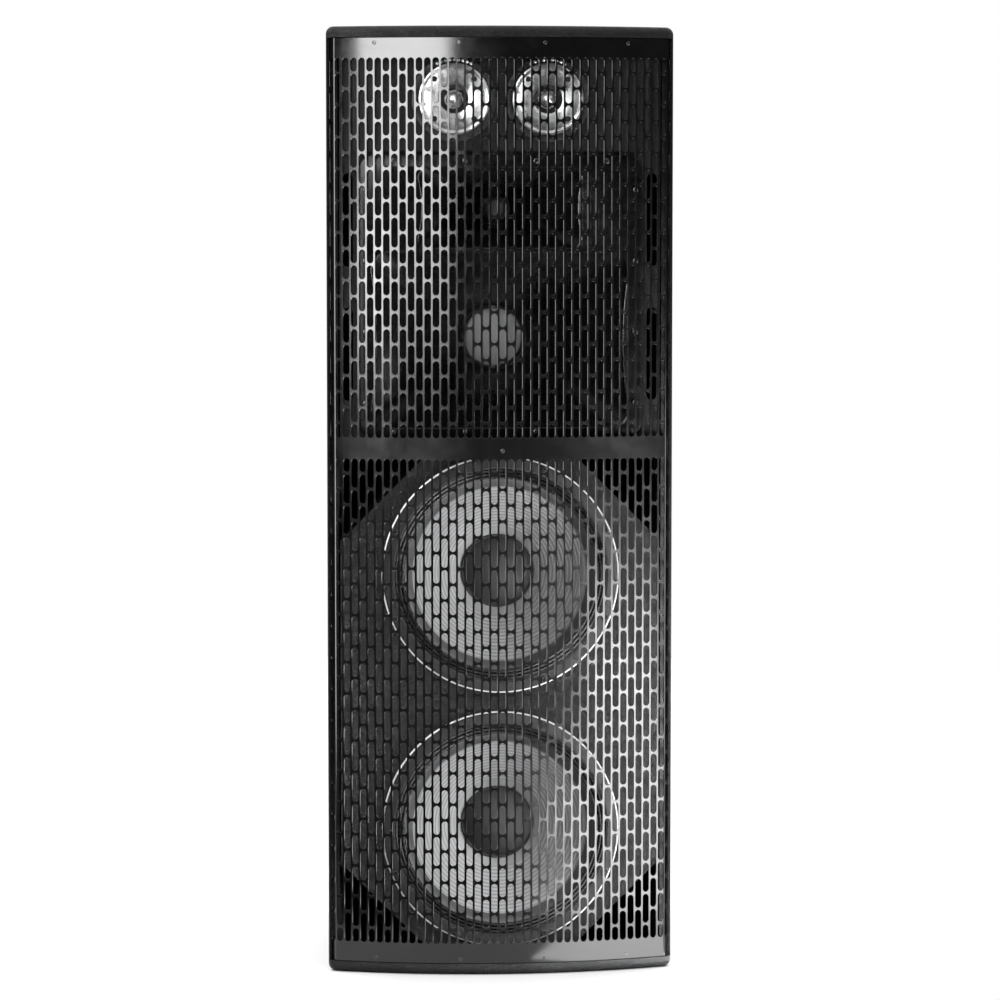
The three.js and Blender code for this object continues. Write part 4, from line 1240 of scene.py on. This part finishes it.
def fill_lights():
    """Soft light on the cabinet, brighter at its left edge and low on its right side, and on the floor."""
    fill = ("diffuse",)
    cones = pieces_with("paper_cone")
    aim([upright_light("cone_fill", 50, 0.85, 0.05, 0.7, 0.35, 76.0, fill)], "cones", cones)
    aim([upright_light("left_low_fill", -50, 0.85, 0.02, 0.65, 0.35, 85.0, fill)], "bass", ["lf_baffle"])
    aim([upright_light("cap_fill", -45, 0.9, 1.3, 1.9, 0.3, 20.0, fill)], "cap", ["top_board"])
    fills = [
        upright_light("left_fill", -45, 1.1, 0.1, 1.9, 0.3, 9.5, fill),
        upright_light("left_edge_strip", -84, 2.6, 0.1, 2.4, 0.5, 13.0, fill),
        upright_light("right_edge_strip", 82, 2.6, 0.02, 0.8, 0.5, 16.0),
    ]
    aim(fills, "no_fill", ["floor"], "EXCLUDE")
    right_fill = upright_light("right_fill", 50, 0.85, 0.05, 0.7, 0.35, 185.0, fill)
    aim([right_fill], "no_right_fill", ["floor"] + cones + pieces_with("_basket", "_rolls"), "EXCLUDE")
    washes = [level_light(f"floor_wash_{a}", a, 0.4, 2.0, 1.6, DOWN, 1.8, 1.6, fill) for a in (-105, 105)]
    aim(washes, "washed", ["floor"])
    level_light("ceiling", 0, -9.0, 9.0, 4.6, DOWN, 18.0, 1.55)


def studio_world(seen, ambient):
    """White backdrop for the camera, dim grey surroundings for everything else."""
    world = bpy.data.worlds.new("studio")
    world.use_nodes = True
    tree = world.node_tree
    output = next(n for n in tree.nodes if n.type == "OUTPUT_WORLD")
    backdrop = next(n for n in tree.nodes if n.type == "BACKGROUND")
    around = tree.nodes.new("ShaderNodeBackground")
    for background, strength in ((backdrop, seen), (around, ambient)):
        background.inputs["Color"].default_value = (1, 1, 1, 1)
        background.inputs["Strength"].default_value = strength
    path = tree.nodes.new("ShaderNodeLightPath")
    mix = tree.nodes.new("ShaderNodeMixShader")
    tree.links.new(path.outputs["Is Camera Ray"], mix.inputs[0])
    tree.links.new(around.outputs[0], mix.inputs[1])
    tree.links.new(backdrop.outputs[0], mix.inputs[2])
    tree.links.new(mix.outputs[0], output.inputs["Surface"])
    bpy.context.scene.world = world


def studio_camera():
    """Long lens a little left of the middle and slightly above."""
    azimuth, elevation, distance = math.radians(-3.97), math.radians(4.24), 6.2557
    target = Vector((-0.0043, -0.300, 0.772))
    level = math.cos(elevation)
    back = Vector((math.sin(azimuth) * level, -math.cos(azimuth) * level, math.sin(elevation)))
    lens = bpy.data.cameras.new("camera")
    lens.lens = 140.2
    lens.sensor_width = 36.0
    camera = bpy.data.objects.new("camera", lens)
    turn = back.to_track_quat("Z", "Y").to_matrix().to_4x4()
    camera.matrix_world = Matrix.Translation(target + back * distance) @ turn
    bpy.context.scene.collection.objects.link(camera)
    bpy.context.scene.camera = camera


def studio():
    """Floor, lights, surroundings and camera."""
    studio_stage()
    mirrored_lights()
    fill_lights()
    studio_world(1.0, 0.05)
    studio_camera()
    bpy.context.scene.view_settings.view_transform = "Standard"


# ---- Assembly ----

cap_board("top_board", HEIGHT - PANEL, 1)
cap_board("bottom_board", PANEL, -1)
rear_inserts()
grille()
grille_screws()
horn_moulding()
phase_plugs()
mid_surround()
input_plate()
for level_name in WOOFER_Z:
    woofer(level_name)
for side_name in SIDES:
    side_board(side_name)
    tweeter(side_name)
    input_socket(side_name)
    for level_name in HANDLE_Z:
        handle(side_name, level_name)
dress_cad_nodes()
studio()
